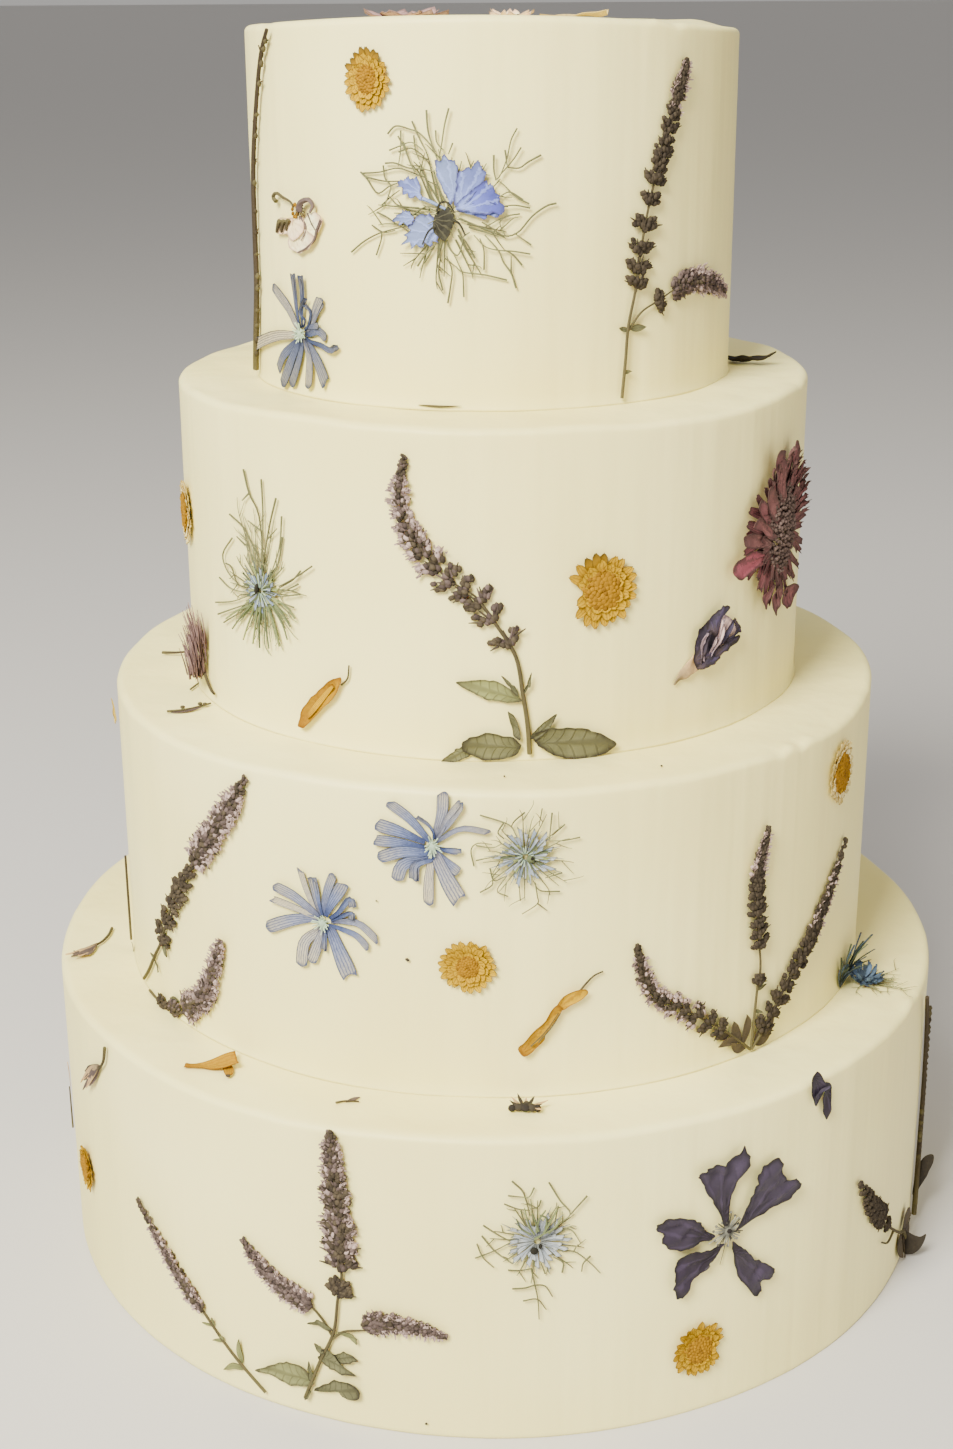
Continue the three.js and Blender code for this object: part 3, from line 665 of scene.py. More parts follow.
STRAPS_2B = [
    [(-1.9, 2.5), (-7, 8.3), (-12.8, 12.7)],
    [(-2.2, 0.9), (-8.9, 3.5), (-16.6, 5.6)],
    [(-2.2, -0.7), (-9.5, 0.3), (-17.3, 0.5)],
    [(-2.3, -2.2), (-9, -2.4), (-16.2, -5)],
    [(-1.4, -4), (-8.5, -6.4), (-10.6, -11.7)],
    [(-1.1, -4.3), (-5.2, -6.2), (-5.6, -11.2)],
    [(-0.5, -4.9), (-1.2, -10.9), (-1.3, -18.8)],
    [(1.2, -3.6), (4.3, -10.6), (8, -17.4)],
    [(2.7, -1), (5, -1.2), (7.6, -1.1)],
    [(2.4, 2.1), (8.5, 5.7), (16.7, 4.6)],
    [(2.2, 3.6), (5.1, 7.4), (9.1, 13.7)],
    [(2.5, 4.2), (4.2, 8.6), (8.3, 14.3)],
    [(1.3, 5.1), (2.8, 10.4), (3.2, 16.9)],
    [(0.2, 4.1), (-1.3, 6.8), (-4.4, 9.1)],
    [(2.1, -3.2), (5.5, -6.2), (7.5, -8)],
]
# name, tier, angle, height, then the petals: midline, width, fading, whether it is folded
CHICORIES = [
    ("chicory_4a", 4, -48, 19, list(zip(
        STRAPS_4A, (4.2, 2, 1.7, 1.3, 1.3, 3.6, 2.4, 2.2, 3.2, 2.8, 4.6, 3.6, 3.8, 4.4, 4, 4.2),
        (0.75, 0.3, 0.2, 0, 0, 0.7, 0.5, 0.3, 0.2, 0.3, 0.35, 0.7, 0.25, 0.2, 0.2, 0.95),
        (0, 1, 1, 1, 1, 0, 0, 0, 0, 1, 0, 0, 0, 0, 0, 0)))),
    ("chicory_2a", 2, -23.2, 53.5, list(zip(
        STRAPS_2A, (2.6, 3.2, 3.2, 4.4, 2.6, 2.2, 3, 2.8, 6.4, 2, 4.6, 4, 4.8, 2.8, 4.2),
        (0.8, 0.5, 0.3, 0.15, 0, 0, 0.4, 0.1, 0.25, 0, 0.7, 0.6, 0.35, 0.85, 0.4),
        (0, 1, 0, 0, 1, 1, 0, 0, 0, 1, 0, 0, 0, 0, 0)))),
    ("chicory_2b", 2, -7.9, 82, list(zip(
        STRAPS_2B, (3.6, 4.8, 4, 4.4, 4.6, 3.4, 3.6, 6, 3, 2.2, 2, 2, 4, 1.2, 3.6),
        (0.2, 0.15, 0.1, 0.1, 0.2, 0.2, 0.8, 0.55, 0.1, 0.4, 0.4, 0.5, 0.5, 0, 0.3),
        (0, 0, 0, 0, 0, 1, 0, 0, 1, 0, 0, 0, 0, 1, 0)))),
    ("chicory_3a", 3, 132, 62,
     [(ray(turn, 13 + (turn * 7) % 5), 2.6 + (turn * 3) % 9 / 4, (turn % 7) / 8, turn % 3 == 0)
      for turn in range(5, 365, 27)]),
    ("chicory_1a", 1, -106, 66,
     [(ray(turn, 14 + (turn * 5) % 5), 2.6 + (turn * 4) % 9 / 4, (turn % 6) / 7, turn % 4 == 0)
      for turn in range(12, 372, 25)]),
]


def chicory(bm, petals, blue, chance):
    """Blue straps, some folded over, round a tuft of stamens."""
    for i, (path, wide, fade, folded) in enumerate(petals):
        path = [Vector(p) for p in path]
        if path[0].length > 2.5:
            path.insert(0, path[0] * 0.4)
        petal(bm, path, wide * (0.7 if folded else 0.85), strap, blue, fade * fade, rows=10,
              columns=6, low=0.1 + 0.1 * (i % 4), lift=0.25 + 0.4 * chance.random(),
              cup=1.0 if folded else 0.2, teeth=0.07, crumple=0.3)
        if folded:
            back = [p + Vector((0.25 * wide, 0)) for p in path]
            petal(bm, back, 0.5 * wide, strap, blue, columns=2, low=0.9, lift=0.2)
    for i in range(26):
        turn = GOLDEN * i + chance.random()
        foot = way(turn) * 0.5
        tip = foot * (3.0 + 4 * chance.random())
        stalk(bm, [foot, tip * 0.6, tip], 0.5, STAMENS, chance.random(), rows=3, sides=4,
              low=0.7, lift=1.0)
    bead(bm, (0, 0), (1.5, 1.9, 1.0), 0, STAMENS, 0.3, out=0.9)


for number, (name, tier, angle, height, petals) in enumerate(CHICORIES):
    bm = new_flower()
    blue = CHICORY_DULL if tier == 4 else CHICORY_PETAL
    chicory(bm, petals, blue, random.Random(200 + number))
    lay_down(name + "_dried", bm, on_side(tier, angle, height), "blue_petals", name)

# ---------------------------------------------------------------- love-in-a-mist
# Nigella flowers: pointed blue petals with torn ends round a dark seed pod, in a loose collar of
# thread-like bracts that fork and curl. Pressed, the threads spread over the icing like hair.


def wedge(share):
    """A point at the foot that widens all the way out."""
    return 0.14 + 0.86 * share**0.8


NIGELLA_BLUE = dried("nigella_blue", [(0, (142, 160, 218)), (0.35, (94, 104, 178)),
                     (0.75, (78, 84, 162)), (1, (66, 72, 130))], faded=(124, 141, 172),
                     edge=(64, 64, 108), edge_from=0.8, veins=(151, 169, 231), vein_count=5,
                     vein_depth=0.4, mottle=0.14)
NIGELLA_PALE = dried("nigella_pale", [(0, (124, 128, 122)), (0.5, (160, 168, 178)),
                     (1, (184, 188, 184))], faded=(104, 126, 158), edge=(84, 86, 78),
                     edge_from=0.7, veins=(112, 118, 116), vein_count=3, mottle=0.15)
NIGELLA_STEEL = dried("nigella_steel", [(0, (72, 82, 95)), (1, (92, 120, 154))],
                      faded=(52, 60, 68), edge=(56, 66, 82), veins=(122, 148, 174),
                      vein_count=4, mottle=0.25)
STAMEN_GREY = dried("grey_bract", [(0, (62, 70, 56)), (1, (88, 98, 78))], faded=(50, 56, 50))
THREAD = dried("bract_thread", [(0, (98, 100, 69)), (1, (130, 131, 91))],
               faded=(86, 84, 58), mottle=0.2)
TUFT = dried("green_tuft", [(0, (104, 114, 76)), (1, (138, 146, 92))], faded=(82, 90, 66))
POD = dried("seed_pod", [(0, (56, 55, 46)), (0.5, (43, 42, 35)), (1, (69, 68, 58))],
            faded=(30, 28, 24), veins=(84, 82, 64), vein_count=5, vein_depth=0.6, mottle=0.3)


def tapering(loss):
    """A shape that narrows evenly from its foot, by a share of its width."""
    return lambda share: 1 - loss * share


def thread(bm, foot, turn, length, bend, chance, finish, forks=2, wide=0.34, low=0.15):
    """One bract: a thread that bends and forks, each fork finer than the last."""
    towards = way(turn)
    aside = right_of(towards)
    path = [foot, foot + towards * length * 0.45 + aside * length * bend * 0.6,
            foot + towards * length * 0.8 + aside * length * bend,
            foot + towards * length + aside * length * bend * (0.4 + 1.2 * chance.random())]
    stalk(bm, path, wide, finish, chance.random(), rows=9, sides=4, low=low, taper=0.45)
    rib = midrib(path)
    for i in range(forks):
        share = 0.35 + 0.5 * (i + chance.random()) / max(1, forks)
        side = 1 if (i + int(10 * bend)) % 2 else -1
        thread(bm, rib(share), turn + side * (0.45 + 0.5 * chance.random()),
               length * (0.28 + 0.3 * chance.random()), side * (0.3 * chance.random() - 0.05),
               chance, finish, forks - 1 if forks < 2 else 0, wide * 0.72, low + 0.1)


# the outlines of the big blue flower's petals and of its pod, and the bracts of the four front
# flowers, in mm from each flower's heart
BLUE_PETALS = [
    [(2, 2.8), (0.4, 5.5), (-1.3, 9), (-2.4, 12.3), (-2.4, 15), (-1, 14.7), (0.2, 16.6),
     (1.6, 15.3), (3.3, 14.7), (3.8, 11.8), (3.5, 7.4)],
    [(2.9, 2.5), (3.5, 8), (4.1, 11.8), (5.5, 12.3), (6.6, 13.4), (7.7, 12.9), (8.6, 14.5),
     (9.9, 14.8), (10.5, 12.9), (11.6, 11.8), (11, 9.1), (9.3, 6.9), (6, 3.4)],
    [(3.2, 2.2), (6, 5.3), (9.4, 8.5), (11.6, 9.9), (12.4, 8.5), (13.5, 8.5), (13.8, 6.9),
     (15.2, 5.5), (15.2, 3.9), (16.6, 2.5), (16.3, 0.3), (14.6, 0.6), (9.9, 0.6), (7.1, 1.2)],
    [(3.7, 1.1), (7.1, 3.1), (11.3, 4.4), (13.8, 3.3), (15.2, 1.4), (14.6, -0.5), (12.4, 0.1),
     (11, -1), (7.1, 0.3)],
    [(-6, 4.6), (-7.1, 4.3), (-8, 5.1), (-9.5, 4.5), (-10.7, 5.6), (-11.8, 5.8), (-11.8, 7.5),
     (-13.3, 7.7), (-12.4, 9.4), (-10.9, 9.7), (-10.3, 10.5), (-9.1, 10), (-7.9, 10.3), (-7.1, 8.9),
     (-6.8, 6.8)],
    [(-8.4, -1.5), (-9.6, -2.4), (-10.5, -3.2), (-11.4, -2.4), (-12.9, -3), (-13.2, -1.9),
     (-14.7, -2), (-13.8, -0.3), (-12.3, 0.3), (-11.6, 1.2), (-9.8, 0.9), (-8.7, -0.1)],
    [(-2, -3), (-3.7, 0.2), (-5.7, -0.1), (-7.8, 0.1), (-8.7, -2.1), (-10.5, -3.5), (-9.6, -4.3),
     (-11.5, -5.5), (-10.9, -6.6), (-12.7, -8.6), (-10, -7.7), (-9.7, -9.6), (-7.9, -7.9),
     (-7.1, -9), (-5.6, -7.8), (-4.1, -8.6), (-3.2, -7.2), (-1.8, -7.2)],
    [(-2.6, 0.5), (-0.5, 1.7), (1.2, 2.2), (2.3, 0.6), (2.8, -1.3), (1.7, -4.4), (0.2, -6.9),
     (-1.2, -6.3), (-2.9, -5), (-3.5, -2.8)],
]
BRACTS_4A = [
    [(-16.4, 21.8), (-14.5, 23.7), (-12.7, 24), (-9.7, 23.2), (-6.9, 22.2), (-3.5, 18.7),
     (-1.8, 15)],
    [(-12.4, 22.9), (-12.5, 17.5), (-13.2, 13.2)],
    [(-4.8, 28.4), (-4.5, 23.6), (-3.7, 20.3), (-2.3, 17.1)],
    [(1.5, 28.9), (0.3, 24.4), (-0.6, 19), (-1.2, 16.1)],
    [(-9.1, 25.4), (-7.4, 21.6), (-5.2, 17.6)],
    [(-8.6, 21.6), (-8.1, 17.6), (-7, 14.9)],
    [(-13.1, 17), (-9.3, 18.1), (-5.8, 16), (-3.5, 12.8)],
    [(-17.2, 13.9), (-14.1, 14), (-9.9, 12.7), (-5.6, 12.5), (-2.4, 11.7)],
    [(-25.3, 11.2), (-23.3, 9.6), (-19.9, 5.6), (-16.1, 7.6), (-13, 8.8)],
    [(-24.9, 10.9), (-19.1, 11.4), (-13.5, 12.6), (-8.5, 11.4)],
    [(-23.3, 9.9), (-17.6, 9), (-13, 9.1)],
    [(-17.8, 13.3), (-17.3, 9.8), (-15.5, 7.6), (-16.8, 3.8), (-17.7, 2.1)],
    [(-18.7, 2.3), (-15.5, 4.9), (-13, 6.6)],
    [(-29, -11.3), (-24.5, -8), (-19.5, -5.5), (-13.9, -3.9), (-9.6, -2.7)],
    [(-20.6, -11.7), (-18.9, -7.4), (-18.6, -5.5)],
    [(-20, 0.3), (-16.9, -0.9), (-13.8, -2.8)],
    [(-22, -3.4), (-18.2, -5.2), (-14.5, -4.5)],
    [(31.3, 3), (28.4, 2.3), (24.4, -0.4), (20.5, -4.7), (16.6, -5.7), (13.2, -3.5), (10.4, -1.8)],
    [(23.8, 1.9), (19.6, 2.7), (16.3, 2.5)],
    [(23.9, -10.8), (18.8, -9.9), (14.9, -9.6), (11.2, -8.5), (8.2, -5.4)],
    [(21.6, -13.9), (19.1, -11), (16.8, -9.6)],
    [(19.9, -20.3), (18.5, -16), (16.3, -12.9), (14.9, -9.6), (11.2, -5.4)],
    [(18.5, -15.8), (18.5, -11.3)],
    [(5.2, -22.7), (5, -16.6), (4.1, -14.1), (2.7, -11)],
    [(17.4, -18), (11.2, -16.5), (5, -15.7), (3, -14.1)],
    [(0.6, -24.5), (1.5, -19.4), (1.9, -15.2), (0.5, -11.3)],
    [(-0.8, -20.9), (-1.9, -15.8), (-1.3, -11.9), (-1.5, -9.1)],
    [(-8, -14.3), (-5.6, -10.9), (-3.2, -8.6)],
    [(-6.2, -13.4), (-4.1, -10.3), (-2.7, -7.8)],
    [(0.5, -6.9), (1.6, -9.6), (3.6, -11), (4.8, -8.2), (5.1, -6), (7, -4.6)],
    [(20.2, 23.5), (18.5, 20.3), (17.4, 15.5), (15.5, 10.9), (14.1, 9.6)],
    [(21.3, 18.4), (19.4, 15.5), (17.1, 12.8), (15.2, 10.7)],
    [(26.9, 16.2), (23.3, 14.4), (20.7, 12.8), (17.4, 13.1)],
    [(23.6, 3), (19.6, 5.2), (16.8, 8), (14.9, 9.6)],
    [(16.9, 17.7), (17.4, 13.6)],
    [(13.8, 16.4), (13.8, 12.3), (14.4, 9.6)],
    [(21.9, 4.1), (18.2, 6.3), (15.5, 5.2)],
    [(21, 0.3), (17.7, -0.2), (15.4, -1.9), (16.8, -5.5)],
    [(10.9, -15.1), (10.9, -9.6), (9.8, -6.3)],
    [(8.4, -11.8), (6.5, -8.2), (5.3, -6.3)],
    [(24.2, -8.3), (21, -6.1), (19.4, -4.9)],
    [(-2.3, 23), (-2, 19.8), (-0.1, 17.7)],
    [(-15.9, 17.4), (-12.8, 18.6), (-9.2, 19.7), (-5.8, 17.6)],
    [(-11.6, 19.7), (-9.9, 14.9), (-8.2, 11.6)],
    [(-13.3, 21.3), (-11.6, 18.6)],
    [(-4.8, 7.9), (-3.4, 4.1), (-0.8, 0.8)],
    [(-9.3, -0.2), (-5.7, 2.1), (-2, 2.2)],
    [(2.5, 19.6), (1.3, 16.6)],
    [(-2.2, 7.9), (-0.2, 4.7), (1.5, 2)],
]
BRACTS_3A = [
    [(-5.8, 36.1), (-3.4, 29.3), (0.8, 23), (2.1, 8.8)],
    [(2.3, 34.4), (2.6, 24.5), (1.6, 8.7)],
    [(8.3, 29.6), (5.4, 21), (2.1, 8.8)],
    [(10.4, 24.5), (9.2, 15.2), (5.8, 7)],
    [(-14.2, 20.9), (-7.1, 18.2), (-2.2, 12.7), (1.6, 7.5)],
    [(-13.2, 13.7), (-19, 7.4), (-16.4, 2.6), (-10.5, -0.2)],
    [(-17.4, 4.9), (-14, 4.4), (-10.5, -0.2), (-3.5, -0)],
    [(-21.7, -0.5), (-14.6, -2.4), (-5.5, -1.7)],
    [(-26.1, -9.6), (-14.9, -6.6), (-6.6, -3.2)],
    [(-24.4, -13), (-12.2, -7.9), (-5.8, -5.2)],
    [(-20.5, -14.7), (-11.3, -9.6), (-5.9, -6.5)],
    [(21.1, 11), (15, 6.7), (8.5, 2.9)],
    [(16.6, 8.8), (13.4, 5.5), (8.1, 2.2)],
    [(15.7, 4.7), (12.5, 2.9), (8.4, 0.7)],
    [(16.3, 1.7), (9.6, -0)],
    [(13.8, -2.7), (8.3, -1.8)],
    [(10.1, 18.1), (8.1, 9.9), (4.4, 4)],
    [(-3.4, 29.3), (-6.5, 26.6)],
    [(1.4, 18.8), (-4, 20.9)],
    [(3.8, 16.2), (8.6, 20.6)],
    [(-6.5, 12.8), (-10.4, 14.8)],
]
TUFT_3A = [
    [(-4.9, -5.9), (-9.7, -10.2), (-14.5, -15.1)],
    [(-3, -6.2), (-6.3, -12.3), (-8.7, -17.3)],
    [(-1.1, -5.8), (-2.4, -11.7), (-3.7, -17.4)],
    [(0.4, -4.9), (-0.5, -12), (-0.5, -18)],
    [(1.7, -4.6), (2.2, -11.4), (3.2, -17.5)],
    [(3.5, -4.3), (6.2, -10), (7.9, -15.9)],
    [(4.8, -3.4), (9.2, -8.2), (11.3, -13.1)],
    [(6.2, -2.5), (10.1, -5.5), (12.7, -8.8)],
    [(7.5, -1.6), (11.8, -3.4), (14.4, -6)],
    [(-3.8, -5.1), (-11.2, -8.6), (-17.8, -12.7)],
]
BRACTS_2A = [
    [(-12.9, 12.8), (-7.2, 11), (-4.1, 9.4), (-2.7, 6.6)],
    [(-0.2, 13.6), (-3, 11.2), (-4.1, 9.4)],
    [(4.7, 14.6), (3.8, 9.4)],
    [(7.5, 13.2), (6.7, 4.7)],
    [(11.3, 9.3), (7.6, 6.2)],
    [(15.7, 5), (10.8, 4.4), (7, 4.6)],
    [(-14.1, 3.5), (-9.5, 2.9), (-6.7, 4.2)],
    [(-14.1, -1.1), (-7.8, 0.5)],
    [(-10.1, -3.6), (-9, -7.4), (-5.8, -6.1)],
    [(-13, -11.2), (-9.6, -8.9), (-9.3, -6.1), (-7.3, -3.6)],
    [(-5, -12.4), (-8.1, -10.5), (-5.3, -5.8)],
    [(2.8, -8.3), (3.4, -12.4), (3.4, -14.9), (-1, -17.9)],
    [(3.4, -14.9), (6.3, -17.3)],
    [(10, -11.5), (4.2, -10.8), (2.2, -7.6)],
    [(10.6, -5.6), (5.6, -6.8)],
    [(-1.5, -13.8), (-1.8, -8.7)],
    [(-14.7, -3), (-15.5, 2), (-13.5, 4.2), (-9.5, 3.9)],
    [(-6.1, 10.6), (-7.8, 7.6), (-6.1, 5.7)],
]
BRACTS_1B = [
    [(-7.4, 20.5), (-4.5, 17.4), (-3.3, 14), (-2.2, 8.8)],
    [(-1, 18.2), (-2.2, 15.6), (-3.6, 15)],
    [(-8.6, 15.8), (-3.6, 15.3)],
    [(-9.7, 13.1), (-5.7, 11.4), (-2.2, 10.9)],
    [(1, 13.8), (0.2, 11.8), (-2.2, 11.2)],
    [(3.3, 19.7), (6.6, 13.4), (9.6, 8.7), (5.5, 5.3)],
    [(14.5, 14.3), (11, 10.3), (9.6, 8.7)],
    [(6, 11.7), (5.4, 8.4), (4.9, 5.4)],
    [(6.7, 3.9), (10.2, 2.8), (12.7, -1.5)],
    [(2.3, -2), (7.3, -3.8), (11.2, -4.5), (15.7, -8.8), (18.8, -12.7)],
    [(15.7, -6.4), (13.6, -8.6), (13.1, -11.3)],
    [(10.6, -4.4), (11.8, -1.8)],
    [(-18.2, -5.7), (-12.4, -2.9), (-7.4, 0.2)],
    [(-15.8, 5.7), (-11.5, 2.6), (-8, 0.5)],
    [(-16.2, 2.2), (-12.4, -2.9), (-7.4, -7.1)],
    [(-17.6, -0.5), (-15.9, -5), (-12.7, -8.4)],
    [(-8.6, -9.8), (-5.1, -9.9), (-2.1, -9.3)],
    [(-1.8, -9.3), (-0.6, -15.3), (0.3, -20.6), (0.6, -27)],
    [(-7.4, -16.1), (-3.6, -15.9), (-0.6, -15), (2.4, -15.5), (4.5, -19.2)],
    [(-4.2, -20.4), (-0, -19.9), (2.7, -23.6)],
    [(7.4, -11.4), (7.6, -7.9), (4.7, -5.6)],
    [(-4.8, 10.6), (-3.9, 7.2), (-2.2, 4.4)],
    [(2.3, -11.3), (1.1, -7.4)],
]
TUFT_1B = [
    [(-1, 3), (-2.7, 6.5), (-3.9, 12.3)],
    [(-0.4, 3.7), (0.2, 7.7), (2.2, 11.3)],
    [(1.7, 3.5), (3.7, 7.5), (5.4, 11.4)],
    [(0.2, 4.3), (-1, 8.5), (-1.6, 10.5)],
    [(2.2, 4.2), (2.5, 8.3), (0.7, 9.7)],
    [(-2.1, 3.1), (-5.1, 5.6), (-6.2, 8.7)],
    [(3.1, 3.4), (5.5, 6), (6.6, 8.6)],
    [(-1, 1.6), (2, 3.5), (4.3, 4.7)],
]


def bracts(bm, paths, wide, chance, finish=THREAD, low=0.15):
    """A thread along each of the drawn lines."""
    for i, path in enumerate(paths):
        stalk(bm, path, wide * (0.85 + 0.3 * chance.random()), finish, chance.random(),
              rows=3 * len(path), low=low + 0.12 * (i % 4), lift=0.3, taper=0.65)


def rays(bm, petals, chance, finish=NIGELLA_PALE):
    """Pointed petals: turn in degrees, start, length, width, fading. Every other has a spur."""
    for i, (turned, start, length, wide, fade) in enumerate(petals):
        turn = math.radians(turned)
        towards = way(turn)
        aside = right_of(towards) * 0.08 * length * (chance.random() - 0.5)
        path = [towards * start, towards * (start + length) / 2 + aside, towards * length]
        petal(bm, path, wide, wedge, finish, fade, columns=6, low=0.35 + 0.13 * (i % 3),
              lift=0.5, teeth=0.16, crumple=0.3, cup=0.1)
        if i % 2 == 0:
            tip = towards * (length + 2.0) + aside
            petal(bm, [towards * length * 0.8, tip], 0.3 * wide, tapering(0.9), finish,
                  fade, rows=3, columns=2, low=0.5)


def collar(bm, turns, start, length, more, wide, chance, low=0.15):
    """Forked threads that stand out from a ring round the heart."""
    for turn in turns:
        thread(bm, way(turn) * start, turn, length + more * chance.random(),
               0.4 * (chance.random() - 0.5), chance, THREAD, 1, wide, low)


def hairs(bm, count, reach, chance, finish=STAMENS):
    """Straight stamens round the heart."""
    for i in range(count):
        turn = GOLDEN * i
        foot = way(turn)
        tip = foot * (0.5 * reach + 0.5 * reach * chance.random())
        stalk(bm, [foot, tip], 0.35, finish, rows=3, sides=4, low=0.9, lift=0.4)


# the big blue flower on the top tier: torn petals round a pod, in a wide cloud of bracts
chance = random.Random(300)
bm = new_flower()
bracts(bm, BRACTS_4A, 0.56, chance)
for i in range(34):
    turn = GOLDEN * i + 0.4 * chance.random()
    foot = way(turn) * (3 + 5 * chance.random())
    thread(bm, foot, turn + 0.5 * chance.random() - 0.25, 8 + 6 * chance.random(),
           0.5 * (chance.random() - 0.5), chance, THREAD, 1, 0.6)
for i, (outline, fade) in enumerate(zip(BLUE_PETALS[:-1], (0.7, 0.35, 0, 0.1, 0.35, 0.6, 0.7))):
    blade(bm, outline, NIGELLA_BLUE, fade, squares=12, low=0.5 + 0.2 * (i % 3), crumple=0.6,
          curl=0.3, ragged=0.9)
stalk(bm, [(-6, 4.6), (-3, 3.4), (0.4, 1.8)], 1.2, NIGELLA_BLUE, 1.0, rows=6, low=0.8)
blade(bm, BLUE_PETALS[-1], POD, 0.2, low=1.6, curl=-0.7, ragged=0.3, thick=1.2)
bracts(bm, [[(-2, 1), (-1, 3.4), (1.2, 3.6), (3, 1)], [(2.4, -1), (4.4, -2.2), (6, -5.4)],
            [(-2.6, -3), (-4.4, -4.6), (-6, -8)]], 0.7, chance, POD, 1.6)
hairs(bm, 12, 7, chance, THREAD)
lay_down("nigella_4a_dried", bm, on_side(4, -10, 55.7), "blue_petals", "nigella_4a")

# the pale one on the third tier, with bracts like loose hair above it and a green tuft below
bm = new_flower()
rays(bm, [(turn, 1, 5.4 + turn % 4, 1.2, 0.4 + (turn % 5) / 9) for turn in range(6, 366, 14)],
     chance)
rays(bm, [(turn, 1, 5.5 + turn % 5, 0.9, turn % 2) for turn in range(0, 360, 13)], chance, TUFT)
bracts(bm, BRACTS_3A, 0.62, chance)
for i in range(11):
    foot = Vector((-5 + 0.7 * i, 3 + 5 * chance.random()))
    thread(bm, foot, math.radians(-24 + 3.6 * i), 10 + 12 * chance.random(),
           0.5 * (chance.random() - 0.5), chance, THREAD, 1, 0.42)
collar(bm, [GOLDEN * i for i in range(20)], 4, 6, 6, 0.6, chance)
bracts(bm, TUFT_3A, 0.8, chance, TUFT, 0.5)
for i in range(44):
    turn = math.radians(125 + 110 * chance.random())
    foot = way(turn) * 3
    thread(bm, foot + Vector((1.5, 0)), turn, 6 + 11 * chance.random(),
           0.7 * (chance.random() - 0.5), chance, TUFT, 0, 0.42, 0.4)
hairs(bm, 12, 6, chance)
bead(bm, (-1, 0.5), (0.7, 1.7, 0.9), 0.2, POD, 0.2, out=1.3, balls=2)
lay_down("nigella_3a_dried", bm, on_side(3, -43, 45), "dried_green", "nigella_3a")

# the small ones on the second tier and on the bottom tier
bm = new_flower()
rays(bm, [(turn, 1, 5.8 + (turn % 7) / 1.5, 1.25, (turn % 4) / 5) for turn in range(8, 368, 11)],
     chance)
rays(bm, [(turn, 1, 4 + turn % 5, 0.8, turn % 2) for turn in range(3, 363, 19)], chance, TUFT)
bracts(bm, BRACTS_2A, 0.48, chance)
collar(bm, [GOLDEN * i for i in range(16)], 3, 7, 5, 0.4, chance, low=0.8)
hairs(bm, 14, 4, chance)
bead(bm, (1.4, -0.6), (1.3, 1.2, 0.8), 0.3, TUFT, 0.9, out=1.3, balls=2)
bead(bm, (1.8, -0.2), (0.5, 0.6, 0.5), 0.3, POD, 0.9, out=1.9)
lay_down("nigella_2a_dried", bm, on_side(2, 4, 79), "blue_petals", "nigella_2a")

bm = new_flower()
rays(bm, [(turn, 1, 6.0 + (turn % 7) / 1.4, 1.5, (turn % 20) / 90) for turn in range(0, 360, 10)],
     chance)
bracts(bm, BRACTS_1B, 0.54, chance)
collar(bm, [GOLDEN * i for i in range(14)], 5, 7, 4, 0.55, chance)
bracts(bm, TUFT_1B, 0.7, chance, TUFT, 1.2)
bead(bm, (-1.0, -2.8), (1.2, 1.2, 0.8), 0.3, POD, 0.5, out=1.3, balls=2)
bead(bm, (0.8, -1.2), (0.6, 0.9, 0.7), 0.3, POD, 0.5, out=1.5)
lay_down("nigella_1b_dried", bm, on_side(1, 4.6, 71), "pale_petals", "nigella_1b")

# two on the back and the side, in the manner of the front ones
for name, lay, colour, slot, wide in (
    ("nigella_4b", on_side(4, 155, 60), NIGELLA_BLUE, "blue_petals", 6),
    ("nigella_2b", on_side(2, 112, 60), NIGELLA_PALE, "pale_petals", 4.4),
):
    bm = new_flower()
    rays(bm, [(turn, 2, 10.5 + turn % 3, wide, (turn % 5) / 9) for turn in range(15, 375, 33)],
         chance, colour)
    for turned in range(6, 366, 16):
        turn = math.radians(turned)
        foot = way(turn) * 2.0
        thread(bm, foot, turn, 14 + turned % 6, 0.12 - (turned % 4) * 0.08, chance, THREAD)
    hairs(bm, 20, 8, chance)
    bead(bm, (0, 0), (2.4, 3.0, 1.3), 0.4, POD, 0.2, out=1.3, balls=2)
    lay_down(name + "_dried", bm, lay, slot, name)

# A steel-blue flower that was crushed into the crease of the ledge: it leans on the tier behind.
bm = new_flower()
chance = random.Random(360)
for i in range(40):
    turn = math.radians(14 * i)
    towards = way(turn)
    length = 4.2 + 3.0 * chance.random()
    petal(bm, [towards * 0.6, towards * length], 1.3 + 0.7 * (i % 2), wedge, NIGELLA_STEEL,
          chance.random(), rows=5, columns=3, low=0.2 + 0.3 * (i % 4),
          lift=5.0 * chance.random(), teeth=0.2, crumple=0.8)
for i in range(24):
    turn = math.radians(20 + 150 * chance.random())
    foot = way(turn) * 2
    thread(bm, foot, turn, 5 + 5 * chance.random(), 0.4 * (chance.random() - 0.5), chance,
           THREAD, 0, 0.4, 0.8)
for turned, length, bend in ((62, 17, -0.1), (74, 13, 0.1), (104, 16, 0.08), (122, 15, -0.1),
                             (84, 10, 0.05), (140, 9, 0.1), (200, 9, 0.1)):
    turn = math.radians(turned)
    thread(bm, Vector((0, 0)), turn, length, bend, chance, THREAD)
lay_down("nigella_1a_dried", bm, on_top(1, 122.6, -53.4), "blue_petals", "nigella_1a")

